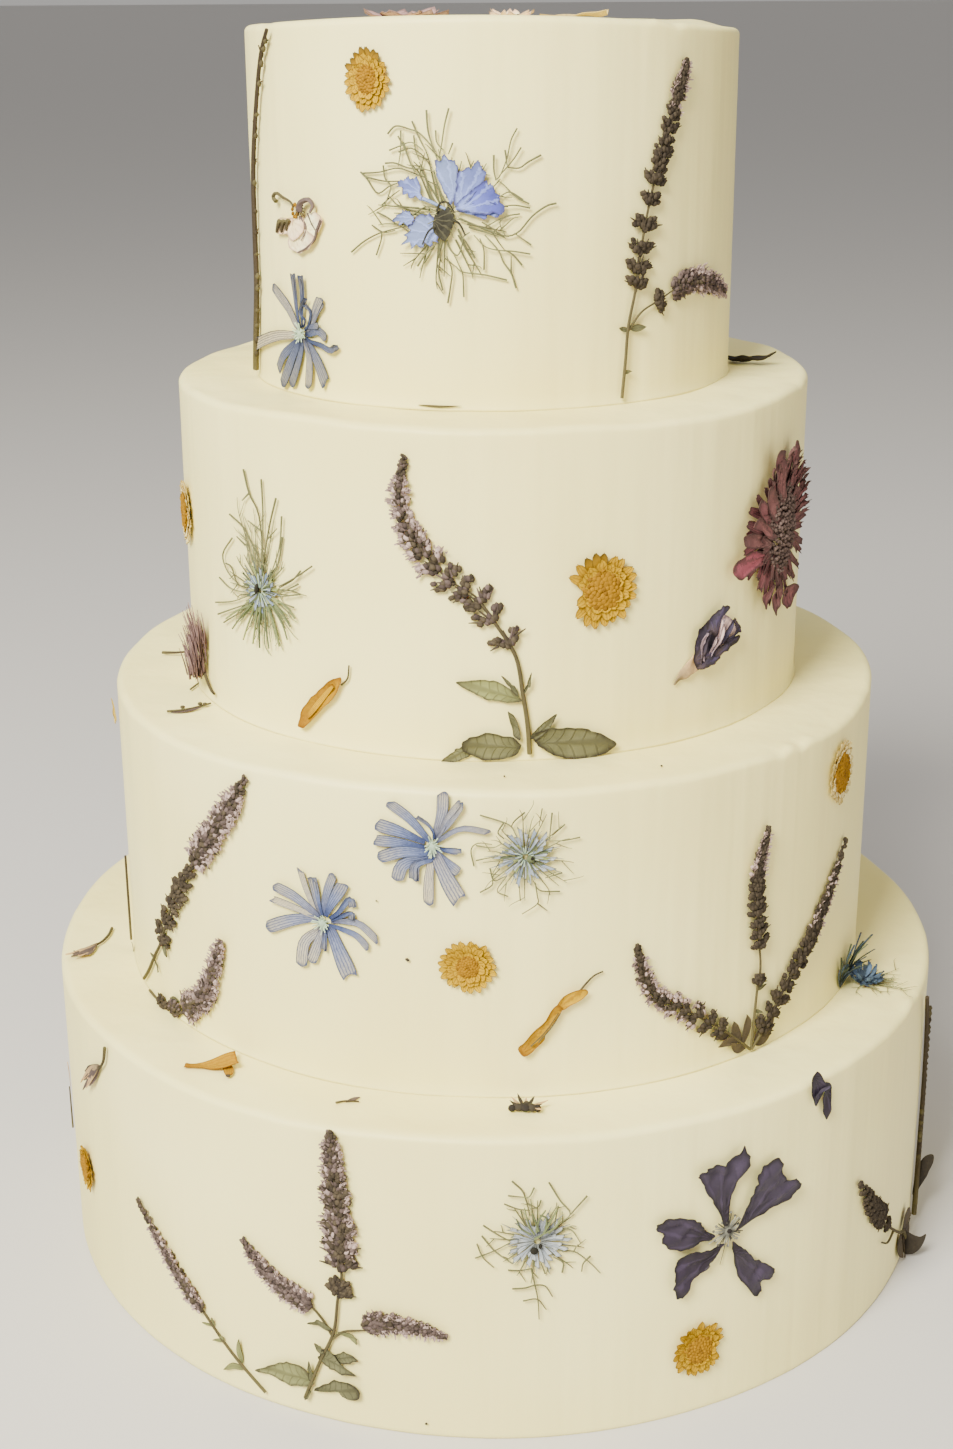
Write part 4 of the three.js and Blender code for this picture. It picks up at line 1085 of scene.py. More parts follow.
# its bracts fan out over the wall of the tier behind
bm = new_flower()
for i in range(34):
    turn = math.radians(-40 + 2.4 * i + 12 * chance.random())
    foot = Vector((0.3 * i - 5, 0.3))
    tip = foot + way(turn) * (5 + 11 * chance.random())
    petal(bm, [foot, (foot + tip) / 2, tip], 0.9 + 0.5 * (i % 2), tapering(0.85),
          STAMEN_GREY if i % 2 else NIGELLA_STEEL, chance.random(), rows=6, columns=2, low=0.3,
          lift=7 * chance.random(), cup=0.4)
lay_down("nigella_1a_bracts", bm, on_side(2, 65.5, 0.6), "blue_petals")

# ---------------------------------------------------------------- sprigs of mint and hyssop
# Sprigs of flowering mint, catnip and hyssop: whorls of small dry florets up a thin stem, some
# still with lilac petals like fuzz, and toothed grey-green leaves with darker veins and margins.


def leaf_shape(share):
    """Pointed at both ends, widest below the middle."""
    return max(0.03, math.sin(math.pi * share**0.85) ** 0.85)


FLORET = dried("dry_floret", [(0, (62, 55, 46)), (1, (92, 82, 65))], faded=(48, 42, 36),
               mottle=0.35, grain=1400)
FLORET_MAUVE = dried("mauve_floret", [(0, (84, 71, 68)), (1, (116, 100, 96))],
                     faded=(60, 52, 49), mottle=0.35, grain=1400)
FUZZ = dried("lilac_fuzz", [(0, (110, 95, 91)), (1, (146, 127, 123))], faded=(178, 156, 150),
             mottle=0.2)
LEAF = dried("dried_leaf", [(0, (98, 100, 66)), (0.5, (130, 134, 84)), (1, (118, 120, 78))],
             faded=(108, 106, 80), edge=(64, 60, 46), edge_from=0.76, veins=(86, 86, 58),
             vein_count=7, vein_depth=0.55, leafy=True, mottle=0.18, grain=500)
LEAF_DARK = dried("dark_leaf", [(0, (82, 82, 58)), (0.5, (106, 106, 76)), (1, (86, 85, 60))],
                  faded=(70, 67, 55), edge=(50, 47, 38), edge_from=0.74, veins=(62, 60, 46),
                  vein_count=6, leafy=True, mottle=0.2, grain=500)
STEM = dried("dry_stem", [(0, (92, 86, 58)), (1, (78, 72, 52))], faded=(58, 50, 40),
             mottle=0.3)

# A sprig: where its foot is, then its stems [path, width], its heads [path, width, number of
# whorls, how open the lower ones stand, share of mauve florets or -1 for an aged head, from and to
# which share it is fuzzy, how fuzzy] and its leaves [path, width, 0 green 1 dark 2 brown, whether
# it is serrated]. Paths are in mm from the foot.
SPRIGS = {
    "spike_4a": (on_side(4, 30, 2),
     [([(-0.5, 0), (0.5, 11), (1.3, 21), (3.7, 31.8), (5.1, 42), (9.2, 60), (17.9, 84)], 1.1),
      ([(1.3, 19.4), (6.1, 24.6), (12.8, 27.4), (18, 29.6)], 0.8)],
     [([(3.7, 30.5), (5.1, 42.4), (9.2, 60.4), (13.5, 71.2), (17.9, 84.7), (21.4, 93.5)],
       8.4, 17, 0.45, -1, (0.6, 0.95), 0.2),
      ([(17.5, 29.4), (27.3, 31.8), (39.6, 29.4), (50.5, 25.5)], 8.0, 13, 0.1, 0.75, (0.2, 1),
       0.7),
      ([(17.2, 83), (19.2, 87.6), (21.4, 94)], 6.0, 4, 0, -1, (0, 1), 0.5),
      ([(11.2, 26.6), (13.8, 27.6)], 7.0, 2, 0, -1, (2, 2), 0)],
     [([(1.6, 19.6), (-2, 20.6)], 1.5, 1, 0), ([(2, 20), (7.4, 20.2)], 2.2, 1, 0),
      ([(0, 7.4), (2.4, 7.8)], 1.2, 1, 0)]),
    "spike_3a": (on_side(3, 6, 2),
     [([(-0.2, 0.5), (-0.8, 9.5), (-2.2, 19), (-4.4, 31), (-10.9, 42), (-15, 48)], 1.5)],
     [([(-4.2, 31.5), (-10.9, 41.7), (-15.4, 48.6), (-23, 53.5), (-30.1, 60.6), (-34.8, 67.7),
        (-37.3, 77.7), (-35.8, 88.2)], 10.4, 16, 0.75, 0.35, (0.3, 0.84), 1.7)],
     []),
    "spike_2a": (on_side(2, -66, 2.5),
     [([(1, 0), (7.7, 6.2), (15.5, 15.5), (21.5, 22.9), (28.8, 36), (46, 59), (60, 78)], 1.2)],
     [([(19.5, 20.5), (28.8, 35.5), (37.6, 48), (46.1, 59.2)], 9.8, 7, 0.2, 0, (2, 2), 0),
      ([(44.5, 57), (50, 65), (55.3, 71), (60, 77.5), (64.7, 84), (69.8, 92.3)], 10.0, 15, 0,
       0.4, (0, 0.85), 1.4)],
     [([(13.6, 12.6), (10.6, 13.8)], 1.6, 1, 0), ([(13.6, 12.4), (17.8, 9.8)], 1.4, 1, 0),
      ([(21, 22), (25.4, 18.4)], 2.6, 1, 0)]),
    "spike_2b": (on_side(2, -60, 4),
     [([(-7, -3.4), (0, -3.3), (8, -2), (18, 1.4)], 0.9)],
     [([(1, -3.2), (9, -2.2)], 6.0, 3, 0.3, 0, (2, 2), 0),
      ([(11, -1.6), (18, 0.6)], 6.5, 3, 0.2, 0.5, (2, 2), 0),
      ([(20.5, 2.4), (27, 5.8), (34.1, 12.9), (39.1, 24.2), (42.8, 33.9)], 9.4, 15, 0, 0.7,
       (0, 1), 1.0)],
     [([(9, -1), (14, 2.6), (17, 3.2)], 2.0, 1, 0)]),
    "spike_2c": (on_side(2, 38, 2.2),
     [([(0.6, -0.6), (-9.5, 8.6), (-19.3, 16)], 1.0),
      ([(0.9, -0.6), (2.4, 18.5), (3.5, 27.7), (1.2, 46), (3.7, 69)], 0.9),
      ([(0.9, -0.6), (7, 5.5), (14.9, 15.1), (33, 33), (48, 50)], 1.1)],
     [([(-9.5, 8.6), (-19.3, 16), (-28.4, 22.6), (-36.1, 27.9), (-40.4, 37), (-42.2, 45.4)],
       8.2, 13, 0.3, -1, (0.15, 0.85), 1.2),
      ([(2.6, 21), (3.4, 24.5)], 6.8, 2, 0, -1, (2, 2), 0),
      ([(3.4, 33), (0.8, 47), (0.5, 60.4), (4.1, 73)], 7.4, 15, 0.4, -1, (0.5, 0.9), 0.6),
      ([(4, 3.4), (14.9, 15.1), (25.7, 25.1), (33.2, 32.7), (41.2, 41.8), (51.6, 54.4)], 9.6, 17,
       0.1, -1, (0.5, 0.9), 0.4)],
     [([(-3.4, 2.6), (-6, 8), (-7.2, 11.8)], 3.4, 2, 0),
      ([(-2.4, 2), (-1.2, 8), (-2, 12.6)], 3.4, 2, 0),
      ([(-4.6, 4), (-9, 5.2), (-13.2, 4.8)], 3.0, 2, 0),
      ([(-8, 7), (-12, 8), (-15, 12)], 2.6, 2, 0), ([(-1, 1), (-5, 1.6), (-8, 4.6)], 3.2, 2, 0),
      ([(2, 0.6), (6, 3), (10, 8)], 6.5, 2, 0), ([(2.4, 19), (6.2, 20.4)], 1.4, 1, 0),
      ([(1.6, 12.4), (4.8, 11.2)], 1.2, 1, 0)]),
    "spike_1a": (on_side(1, -28, 4),
     [([(0, 0), (-13, 10.5), (-25, 22), (-38, 34), (-54, 49.5)], 1.0)],
     [([(-24, 21), (-32, 28), (-41, 37), (-54, 49)], 6.0, 16, 0.1, 0.5, (0, 0.8), 0.6)],
     [([(-8.6, 7.6), (-9.6, 12), (-9.2, 16.6)], 2.2, 0, 0), ([(-7.4, 6), (-12, 5.4), (-16, 2.6)],
      2.2, 0, 0), ([(-15.5, 13), (-17, 15.6)], 1.3, 0, 0), ([(-15.8, 13), (-20, 12)], 1.2, 0, 0),
      ([(-19.6, 17), (-19.8, 20.5)], 1.0, 0, 0), ([(-19.8, 17), (-24, 17)], 1.0, 0, 0)]),
    "spike_1b": (on_side(1, -22, 10),
     [([(-1.6, -3), (3.8, 11.4), (8.8, 23.6), (10.5, 35.6), (12, 44), (11.6, 60), (9.8, 91)],
       1.2),
      ([(8.2, 22.2), (5.5, 27), (0, 32.6), (-6.4, 35)], 0.9),
      ([(8.2, 21), (12, 24.5), (17, 26), (22, 27)], 0.9)],
     [([(10.7, 37.5), (12, 43)], 9.6, 3, 0, 0, (2, 2), 0.1),
      ([(12.3, 47), (11.6, 60.4), (10.6, 79.1), (9.8, 93.7)], 10.4, 20, 0.1, 0.3, (0.05, 0.9),
       0.9),
      ([(2, 32), (-6.4, 34.8), (-14.1, 40), (-22, 48.3)], 8.0, 14, 0, 0.9, (0, 0.85), 0.6),
      ([(18.5, 28.3), (25, 30.2), (34, 30), (44, 27.5)], 7.4, 14, 0.15, 0.7, (0.1, 0.9), 0.6)],
     []),
    "spike_1c": (on_side(1, 62, 24),
     [([(15.5, -15.6), (10.5, -10), (4.2, -6.7), (-10, 4.2), (-15, 9)], 1.3),
      ([(-2, -1.8), (-8, -3.4), (-14, 0)], 0.9)],
     [([(-13.5, 9.5), (-19, 14), (-25, 21), (-34, 33.5)], 8.6, 11, 0, -1, (2, 2), 0),
      ([(-9, 4), (-11, 6)], 5, 2, 0, -1, (2, 2), 0)],
     [([(9, -9.5), (8, -15), (12, -21.5)], 5.0, 2, 0),
      ([(13, -13), (18, -17), (15, -23.4)], 10, 2, 0),
      ([(10, -9), (15, -7), (20, -9)], 7, 2, 0),
      ([(13, -14), (19, -14), (22.5, -12)], 4.4, 1, 0)]),
    "spike_4b": (on_side(4, -150, 2),
     [([(0, 0), (2, 18), (1, 34), (0, 46), (-5, 64)], 1.1)],
     [([(1, 32), (0, 46), (-5, 64), (-3, 88)], 7.5, 16, 0.5, 0.5, (0.3, 0.9), 0.6)],
     [([(1, 8), (9, 13), (18, 12)], 6.5, 0, 1), ([(1, 7), (-8, 12), (-16, 13)], 5.6, 0, 1)]),
    "spike_3b": (on_side(3, -132, 2),
     [([(0, 0), (6, 14), (14, 28), (24, 42)], 1.1)],
     [([(13, 26), (22, 38), (28, 52), (40, 66)], 7.0, 14, 0.4, 0.2, (2, 2), 0.2)],
     [([(2.4, 6), (-6, 10), (-13, 11)], 5.6, 0, 1), ([(5.6, 12), (12, 12.4), (17, 9)], 4.6, 1,
      0)]),
    "spike_2d": (on_side(2, -140, 2.5),
     [([(0, 0), (-6, 14), (-10, 28), (-16, 42)], 1.1), ([(-3, 7), (5, 16), (10, 22)], 0.9)],
     [([(-9.6, 26), (-16, 40), (-19, 58), (-27, 78)], 8.0, 15, 0.3, 0.6, (0.2, 0.9), 0.9),
      ([(9, 21), (18, 30), (26, 36), (36, 50)], 6.0, 11, 0.2, 0.6, (0.1, 0.9), 0.6)],
     [([(-4, 10), (-14, 12), (-23, 9)], 7.0, 0, 1)]),
    "spike_1d": (on_side(1, -152, 3),
     [([(0, 0), (6, 16), (9, 34), (12, 50)], 1.2), ([(6.4, 18), (14, 24), (20, 28)], 0.9)],
     [([(8.8, 32), (12, 50), (9, 68), (14, 90)], 9.0, 17, 0.3, 0.3, (0.2, 0.9), 0.9),
      ([(19, 27), (28, 33), (36, 36), (47, 35)], 6.5, 11, 0.1, 0.8, (0.1, 0.9), 0.6)],
     [([(1.6, 4), (12, 8), (24, 7)], 8.0, 0, 1), ([(1.6, 4), (-8, 9), (-16, 13)], 6.6, 0, 1)]),
}


# leaves of the two front sprigs, cut to their outlines in mm, and whether each is dark
LEAVES_3A = [
    [(-2.4, 16.9), (-6.8, 16.7), (-11.7, 17.4), (-16, 19.5), (-21.8, 22.7), (-17.2, 23.5),
     (-11.7, 23.5), (-7.4, 21.6), (-3.6, 18.5)],
    [(0.5, 5.6), (3.8, 7.9), (9.4, 8.2), (15.8, 7.3), (21.1, 5.2), (25.9, 1.4), (21.2, -1.4),
     (14.7, -2), (8.3, -0.8), (3.8, 2)],
    [(-3, 4.2), (-7.4, 6.5), (-12.9, 7.1), (-17.9, 5.8), (-20, 2.6), (-14.4, -0.7), (-8, -0.7),
     (-3.6, 1)],
    [(-17.3, 4.6), (-20.6, 2.6), (-22.9, 0.9), (-26.5, -2.4), (-22.4, -1.9), (-18.2, -0.2),
     (-16.4, 2.1)],
    [(-0, 5.9), (2.9, 9.2), (7.6, 12.7), (5.3, 7.9), (1.7, 4.9)],
    [(-6.5, 13.9), (-3.9, 11.4), (-3, 5.7), (-5, 7)],
    [(-3.3, 18.5), (-5.9, 21), (-8.5, 25), (-5, 22.2)],
    [(-2.1, 19.1), (-1.3, 22.1), (0.2, 25.7), (-0.4, 21.5)],
]
LEAVES_1B = [
    [(1.4, 2.7), (-2.7, 1.1), (-7.7, 0.2), (-12.3, 1.7), (-19, 1.5), (-14.8, 4.2), (-11, 7),
     (-6.6, 8.4), (-2.1, 8.3), (0.9, 5.1)],
    [(1.7, 0.9), (4.2, 3.4), (8.6, 6.4), (12.9, 6.7), (16.1, 5.2), (17.3, 2.1), (14, 0.7),
     (11.7, 0.9), (9.8, 2.6), (5.8, 1.3)],
    [(4.2, 14.8), (5.6, 17), (8.3, 16.2), (10.5, 13.4), (13, 11.8), (15.9, 10.3), (12, 9.4),
     (8.7, 10.1), (5.8, 11.2), (3.5, 13.2)],
    [(7.9, 15), (10.9, 16.8), (13.8, 17.1), (16.4, 15.5), (13.1, 13.3), (9.5, 13.2)],
    [(2.4, 18.3), (4.3, 17.4), (5.9, 15.6), (3.9, 15.5)],
    [(8.5, 24.6), (6.6, 26.3), (3.7, 27), (0.2, 25), (3.9, 25.3), (6.6, 24.5)],
    [(10.5, 24.3), (14, 24.7), (15.9, 23), (16.5, 20.9), (14, 22.6)],
    [(1.1, 3.3), (-0.1, 6.6), (0.4, 11.2), (1.6, 7.1)],
    [(0.7, 0.2), (-0.5, -2.7), (-1.5, -2.7), (-0.4, 0.3)],
]
CUT_LEAVES = {
    "spike_3a": list(zip(LEAVES_3A, (0, 1, 1, 1, 1, 1, 1, 1))),
    "spike_1b": list(zip(LEAVES_1B, (0, 1, 1, 1, 1, 1, 0, 1, 1))),
}


def calyx(bm, foot, turn, reach, wide, tip, finish, faded, out, tilt):
    """A dry calyx: a small flared or pointed tube that leans off the stem."""
    towards = Vector((math.sin(turn) * math.cos(tilt), math.cos(turn) * math.cos(tilt),
                      math.sin(tilt)))
    place = Matrix.Translation(Vector((foot[0], foot[1], out)) + towards * reach / 2)
    place = place @ towards.to_track_quat("Z", "Y").to_matrix().to_4x4()
    made = bmesh.ops.create_cone(bm, cap_ends=True, segments=5, radius1=0.6 * wide,
                                 radius2=tip * wide, depth=reach, matrix=place)["verts"]
    mark(bm, made, {}, finish, faded)


FLORETS = 20  # in a whorl
CALYXES = 8


def head_of_florets(bm, path, wide, whorls, gap, mauve, fuzz, fuzzy, chance):
    """Whorls of florets from the foot of a head to its tip, closer and smaller upwards."""
    rib = midrib(path)
    length = sum((rib((i + 1) / 10) - rib(i / 10)).length for i in range(10))
    for whorl in range(whorls):
        place = (whorl + 0.5) / whorls
        share = min(0.99, place + gap * (place - place * place))
        spot, side = rib(share), side_of(rib, share)
        ahead = Vector((-side.y, side.x))
        heading = math.atan2(ahead.x, ahead.y)
        half = 0.5 * wide * (1 - 0.85 * share**3.2) * (0.86 + 0.28 * chance.random())
        deep = min((0.36 + 0.1 * place) * length / whorls, 0.6 * half + 1.2 * place**3)
        hairy = fuzz[0] <= place <= fuzz[1]
        aged = 0.6 if mauve < 0 else 0
        for i in range(FLORETS):
            off = 2 * (i + chance.random()) / FLORETS - 1
            up = (2 * chance.random() - 1) * deep + 0.2 * half * abs(off)
            middle = spot + side * off * half * 0.85 + ahead * up
            size = 0.1 * half + 0.34 + 0.16 * chance.random()
            finish = FLORET_MAUVE if chance.random() < mauve else FLORET
            if hairy and chance.random() < fuzzy * (abs(off) - 0.3):
                finish = FUZZ
            bead(bm, middle, (size, 1.35 * size, size), heading + off, finish,
                 max(aged, chance.random()), out=0.5 + 0.9 * (1 - off * off) * chance.random())
        for i in range(CALYXES):
            off = (2 * i + 1) / CALYXES - 1
            fan = off * (1.5 - 0.8 * place) + 0.5 * (chance.random() - 0.5)
            foot = spot + side * off * half * 0.6
            calyx(bm, foot, heading + fan, half * (0.45 + 0.35 * chance.random()),
                  0.13 * half + 0.16, 0.2, FLORET_MAUVE if chance.random() < mauve else FLORET,
                  max(aged, chance.random()), 0.5 + 0.4 * (1 - off * off),
                  0.3 * chance.random())
        if hairy:
            for i in range(int(4 + 12 * fuzzy)):
                turn = heading + (1 if i % 2 else -1) * (1.5 - 1.1 * chance.random())
                towards = way(turn)
                foot = spot + towards * half * (0.6 + 0.4 * chance.random())
                tip = foot + towards * (0.7 + 0.9 * chance.random())
                petal(bm, [foot, tip], 0.5 + 0.4 * chance.random(), tapering(0.5), FUZZ,
                      chance.random(), rows=2, columns=2, low=0.9, lift=0.5, cup=0.3, thick=0.12)


for number, (name, (lay, stems, heads, leaves)) in enumerate(SPRIGS.items()):
    bm = new_flower()
    chance = random.Random(400 + number)
    for path, wide in stems:
        stalk(bm, path, wide, STEM, 0.4, rows=5 * len(path), sides=6, taper=0.6)
    for path, wide, whorls, gap, mauve, fuzz, fuzzy in heads:
        stalk(bm, path, 0.7, STEM, 0.5, rows=4 * len(path), low=0.3, taper=0.6)
        head_of_florets(bm, path, wide, whorls, gap, mauve, fuzz, fuzzy, chance)
    for i, (path, wide, kind, serrated) in enumerate(leaves):
        petal(bm, path, wide, leaf_shape, (LEAF, LEAF_DARK, FLORET)[kind], 0.3 * chance.random(),
              rows=22 if serrated else 12, columns=6, low=0.15 + 0.15 * (i % 3), lift=0.5,
              cup=0.2, crumple=0.3, wave=0.07 if serrated else 0)
    for i, (outline, dark) in enumerate(CUT_LEAVES.get(name, [])):
        blade(bm, outline, LEAF_DARK if dark else LEAF, 0.4 * chance.random(), squares=12,
              low=0.2 + 0.2 * (i % 3), crumple=0.5, curl=0.35, ragged=0.7)
    lay_down(name + "_dried", bm, lay, "dried_green", name)

# ---------------------------------------------------------------- mallows
# Black mallow: five loose petals, torn at the end and narrow at the foot, nearly black with violet
# veins, glossy where they were pressed, round a star of pale hairs with a dark dot.
MALLOW = dried("mallow_petal", [(0, (33, 28, 30)), (0.4, (37, 31, 38)), (0.8, (43, 36, 48)),
               (1, (40, 34, 42))], faded=(80, 74, 92), edge=(36, 32, 34), edge_from=0.8,
               veins=(66, 58, 76), vein_count=6, vein_depth=0.55, mottle=0.4, grain=200,
               rough=0.48)
MALLOW_STAR = dried("mallow_star", [(0, (94, 95, 88)), (1, (146, 146, 132))],
                    faded=(40, 37, 36), mottle=0.2)
# the torn outlines of the front flower's petals in mm
MALLOW_OUTLINES = [
    [(-1, 1.5), (0.5, 10.2), (3, 17.7), (5.8, 20.3), (6, 24.1), (4.7, 27.9), (2.6, 26.8),
     (0.2, 25.1), (-2.2, 23.7), (-5, 24.5), (-8.4, 23.6), (-10.7, 22.2), (-10.3, 20), (-7.7, 15.2),
     (-3.7, 7.9)],
    [(2.7, -0.7), (4.7, 3.2), (7.1, 8.5), (9.1, 12.7), (10.8, 16.7), (13.3, 19.3), (17.2, 19.7),
     (19.8, 16.7), (19.9, 13.5), (22.2, 10.6), (24.7, 10), (26.5, 7.9), (25.4, 5.1), (22.6, 3.7),
     (16.2, 2.9), (8.5, 1.3)],
    [(-4.4, -0.3), (-7.6, 2), (-9.4, 5.3), (-12.9, 7.9), (-17.8, 9.1), (-21.1, 9.5), (-23.9, 8),
     (-23.9, 6), (-21.6, 4.4), (-22.5, 2.9), (-21.5, 0.6), (-18.5, -1.5), (-14.5, -2.5),
     (-10.9, -1.7), (-7.1, -1.3)],
    [(-1.4, -4), (-4.9, -4.7), (-9.1, -4.3), (-14.1, -4.3), (-17.7, -6.2), (-17.9, -11.1),
     (-18.1, -15.7), (-17, -18.8), (-15.3, -19.6), (-13.1, -17.4), (-12.1, -14), (-8.8, -12.5),
     (-6.1, -9.7), (-3.8, -6.8)],
    [(1.4, -4.2), (4.4, -6.6), (7.6, -9.7), (10, -13.1), (14, -16), (17.4, -19.1), (18.3, -21.6),
     (16.8, -23.2), (13.2, -22.2), (13.8, -26.1), (11.9, -27.2), (9.1, -25), (5.8, -19.9),
     (3.7, -15.6), (2.4, -10.5)],
]
# the second flower is the first one seen in a mirror, with its own creases
for number, (name, lay, side) in enumerate((("mallow_1a", on_side(1, 27.1, 63.9), 1),
                                            ("mallow_2a", on_side(2, 154, 58), -1))):
    bm = new_flower()
    chance = random.Random(500 + number)
    for i, outline in enumerate(MALLOW_OUTLINES):
        outline = [(x * side, y) for x, y in outline]
        blade(bm, outline, MALLOW, 0.35 * chance.random(), squares=18, low=0.4 + 0.15 * (i % 2),
              crumple=1.3, curl=0.3, ragged=1.0)
    for i in range(34):
        turn = GOLDEN * i
        foot = way(turn) * 1.2
        tip = foot * (2.4 + 2.2 * chance.random() + 1.6 * (i % 7 == 0))
        stalk(bm, [foot, tip], 0.5, MALLOW_STAR, 0.9 * (i % 3 == 0), rows=3, sides=4, low=0.8,
              lift=0.3)
        if i % 2:
            bead(bm, tip, (0.5, 0.5, 0.4), 0, MALLOW_STAR, 0.8 * chance.random(), out=1.0)
    bead(bm, (0, 0), (1.9, 1.9, 0.6), 0, MALLOW_STAR, 0.1, out=0.9)
    bead(bm, (0.2, 0.1), (0.9, 0.9, 0.5), 0, MALLOW_STAR, 1.0, out=1.6)
    stalk(bm, [(0, -4), (-0.8, -8), (-1.8, -12)], 0.35, THREAD, rows=6, sides=4)
    lay_down(name + "_dried", bm, lay, "dark_petals", name)

# ---------------------------------------------------------------- zinnias
# Burgundy zinnias: many narrow petals, some broken, folded or lifting off the wall, brighter red
# where they pressed flat, round a raised grey-brown disc.


def tongue(share):
    """Nearly as wide at both ends as in the middle."""
    return 0.4 + 0.6 * math.sin(math.pi * (0.15 + 0.75 * share)) ** 0.8


ZINNIA_PETAL = dried("zinnia_petal", [(0, (106, 77, 74)), (0.5, (124, 88, 85)),
                     (1, (96, 72, 69))], faded=(152, 82, 94), edge=(74, 57, 54), edge_from=0.66,
                     veins=(84, 61, 60), vein_count=5, vein_depth=0.7, mottle=0.4)
ZINNIA_DISC = dried("zinnia_disc", [(0, (96, 80, 76)), (1, (122, 104, 99))],
                    faded=(74, 62, 57), mottle=0.4, grain=1300)
# the outlines in mm of the front flower's petals that show whole
ZINNIA_OUTLINES = [
    [(-9.4, -4.9), (-18, -3.1), (-24, -4), (-28.1, -5.7), (-27.5, -8.6), (-24.1, -10.5),
     (-21.7, -9.8), (-15.5, -8.9), (-8.5, -7.6)],
    [(-9.7, -1.1), (-17.3, 2.4), (-23.5, 3.3), (-23.7, -0.1), (-18.1, -1.8), (-10.1, -3.2)],
    [(-9.1, -1.2), (-15.2, 2.9), (-20.1, 5.1), (-17.7, 7.7), (-13.7, 5.4), (-5.9, -0.3)],
    [(-4.5, -1.3), (-13.2, 5.6), (-17.4, 10.4), (-14.2, 12.3), (-9.9, 8.3), (-1.9, 0.4)],
    [(-2.5, -0.4), (-10.5, 8.1), (-12.6, 13.5), (-11.1, 16), (-6.3, 11), (-0.7, 2.9)],
    [(-3.4, 8.9), (-8.2, 18.6), (-9.3, 25.4), (-4.4, 25.6), (-1.8, 19), (-0.7, 10.5)],
    [(3.5, 8), (4.4, 16), (4.8, 24), (7.6, 26.4), (10, 19), (8.8, 8.5)],
    [(-8.9, -17.4), (-12.5, -18.4), (-11.6, -22.2), (-8.1, -20.1), (-5.2, -16)],
    [(-5, -17.7), (-7.3, -21.6), (-5.6, -25.9), (-2.3, -23.5), (0.1, -18.3)],
    [(1.8, -19.4), (0.6, -23.3), (4.2, -26.2), (10.8, -26), (14.5, -21)],
]
ZINNIA_RINGS = (33, 25)
DISC_FLORETS = 210
for number, (name, lay, across, up) in enumerate((
    ("zinnia_3a", on_side(3, 59, 57.6), 23, 24),
    ("zinnia_1a", on_side(1, 158, 60), 23, 23.5),
)):
    bm = new_flower()
    chance = random.Random(600 + number)
    for ring, count in enumerate(ZINNIA_RINGS):
        for i in range(count):
            turned = 360 * (i + 0.3 * chance.random() + 0.5 * ring) / count
            turn = math.radians(turned)
            bright = 0.4 * max(0, math.cos(turn - math.radians(255))) ** 2 * (ring == 0)
            reach = (0.8 + 0.2 * chance.random()) * (1 - 0.22 * ring)
            towards = way(turn, across, up)
            swerve = right_of(towards) * 0.1 * (chance.random() - 0.5)
            path = [towards * 0.25, towards * reach * 0.6 + swerve, towards * reach]
            wide = (2.3 + 1.6 * bright + 1.2 * chance.random()) * (1 - 0.2 * ring)
            petal(bm, path, wide, tongue, ZINNIA_PETAL, bright + 0.15 * chance.random(), rows=9,
                  low=0.3 + 0.2 * (i % 3) + 0.5 * ring, lift=0.4 + 1.2 * chance.random(),
                  cup=0.4, teeth=0.06, crumple=0.6)
    if number == 0:
        tones = (1.0, 0.1, 0.2, 0.3, 0.1, 0.15, 0.25, 0.2, 0.1, 0.3)
        for i, (outline, fade) in enumerate(zip(ZINNIA_OUTLINES, tones)):
            blade(bm, outline, ZINNIA_PETAL, fade, low=1.2 + 0.4 * (i % 3), lift=1.0,
                  crumple=0.9, curl=0.4, ragged=0.5)
    # short upright petals round the upper right of the disc
    for i in range(36):
        turn = math.radians(-30 + 3.2 * i + 4 * chance.random())
        towards = way(turn, across, up)
        start = 0.5 + 0.3 * chance.random()
        petal(bm, [towards * start, towards * (start + 0.28)], 1.0 + 0.6 * chance.random(), tongue,
              ZINNIA_PETAL, 0.3 * chance.random(), rows=5, columns=2,
              low=1.2 + 0.8 * chance.random(), lift=1.0, cup=0.8, teeth=0.2, crumple=0.6)
    for i in range(DISC_FLORETS):
        share = math.sqrt((i + 0.5) / DISC_FLORETS)
        turn = GOLDEN * i
        spot = (0.44 * across * share * math.sin(turn) + chance.random(),
                0.6 * up * share * math.cos(turn) + chance.random())
        bead(bm, spot, (0.8, 0.7, 0.9), turn, ZINNIA_DISC, chance.random(),
             out=2.6 - 1.3 * share * share + 0.5 * chance.random())
    lay_down(name + "_dried", bm, lay, "red_petals", name)

# ---------------------------------------------------------------- small blossoms
# A bleached orchard blossom with brown stamens and a striped calyx, and on the very top a pink
# blossom, a white one and a curled yellow petal.
BLOSSOM = dried("bleached_blossom", [(0, (244, 232, 160)), (0.6, (247, 245, 200)),
                (1, (228, 184, 150))], faded=(232, 196, 160), edge=(180, 152, 130),
                edge_from=0.84, veins=(224, 200, 150), vein_count=4, vein_depth=0.4)
PINK = dried("pink_blossom", [(0, (164, 128, 126)), (1, (208, 172, 162))],
             faded=(142, 112, 110), edge=(122, 98, 96), veins=(164, 128, 124), vein_count=4)
BLOSSOM_OUTLINES = [
    [(1.5, -1.4), (3.9, 1), (6.6, 2.3), (9.1, 1.9), (10.6, 0), (9.3, -2.6), (7.1, -4.5),
     (3.7, -3.6)],
    [(-0, -3.9), (3.7, -3), (7.1, -4.5), (6.1, -7.1), (2.5, -9.1), (-1.3, -10), (-4.8, -8.6),
     (-4.7, -6)],
    [(-1.7, -0.3), (1.6, 0.6), (3.3, -1.9), (0.9, -4.9), (-3.1, -6.4), (-5.6, -4.3), (-4.4, -1.9)],
]
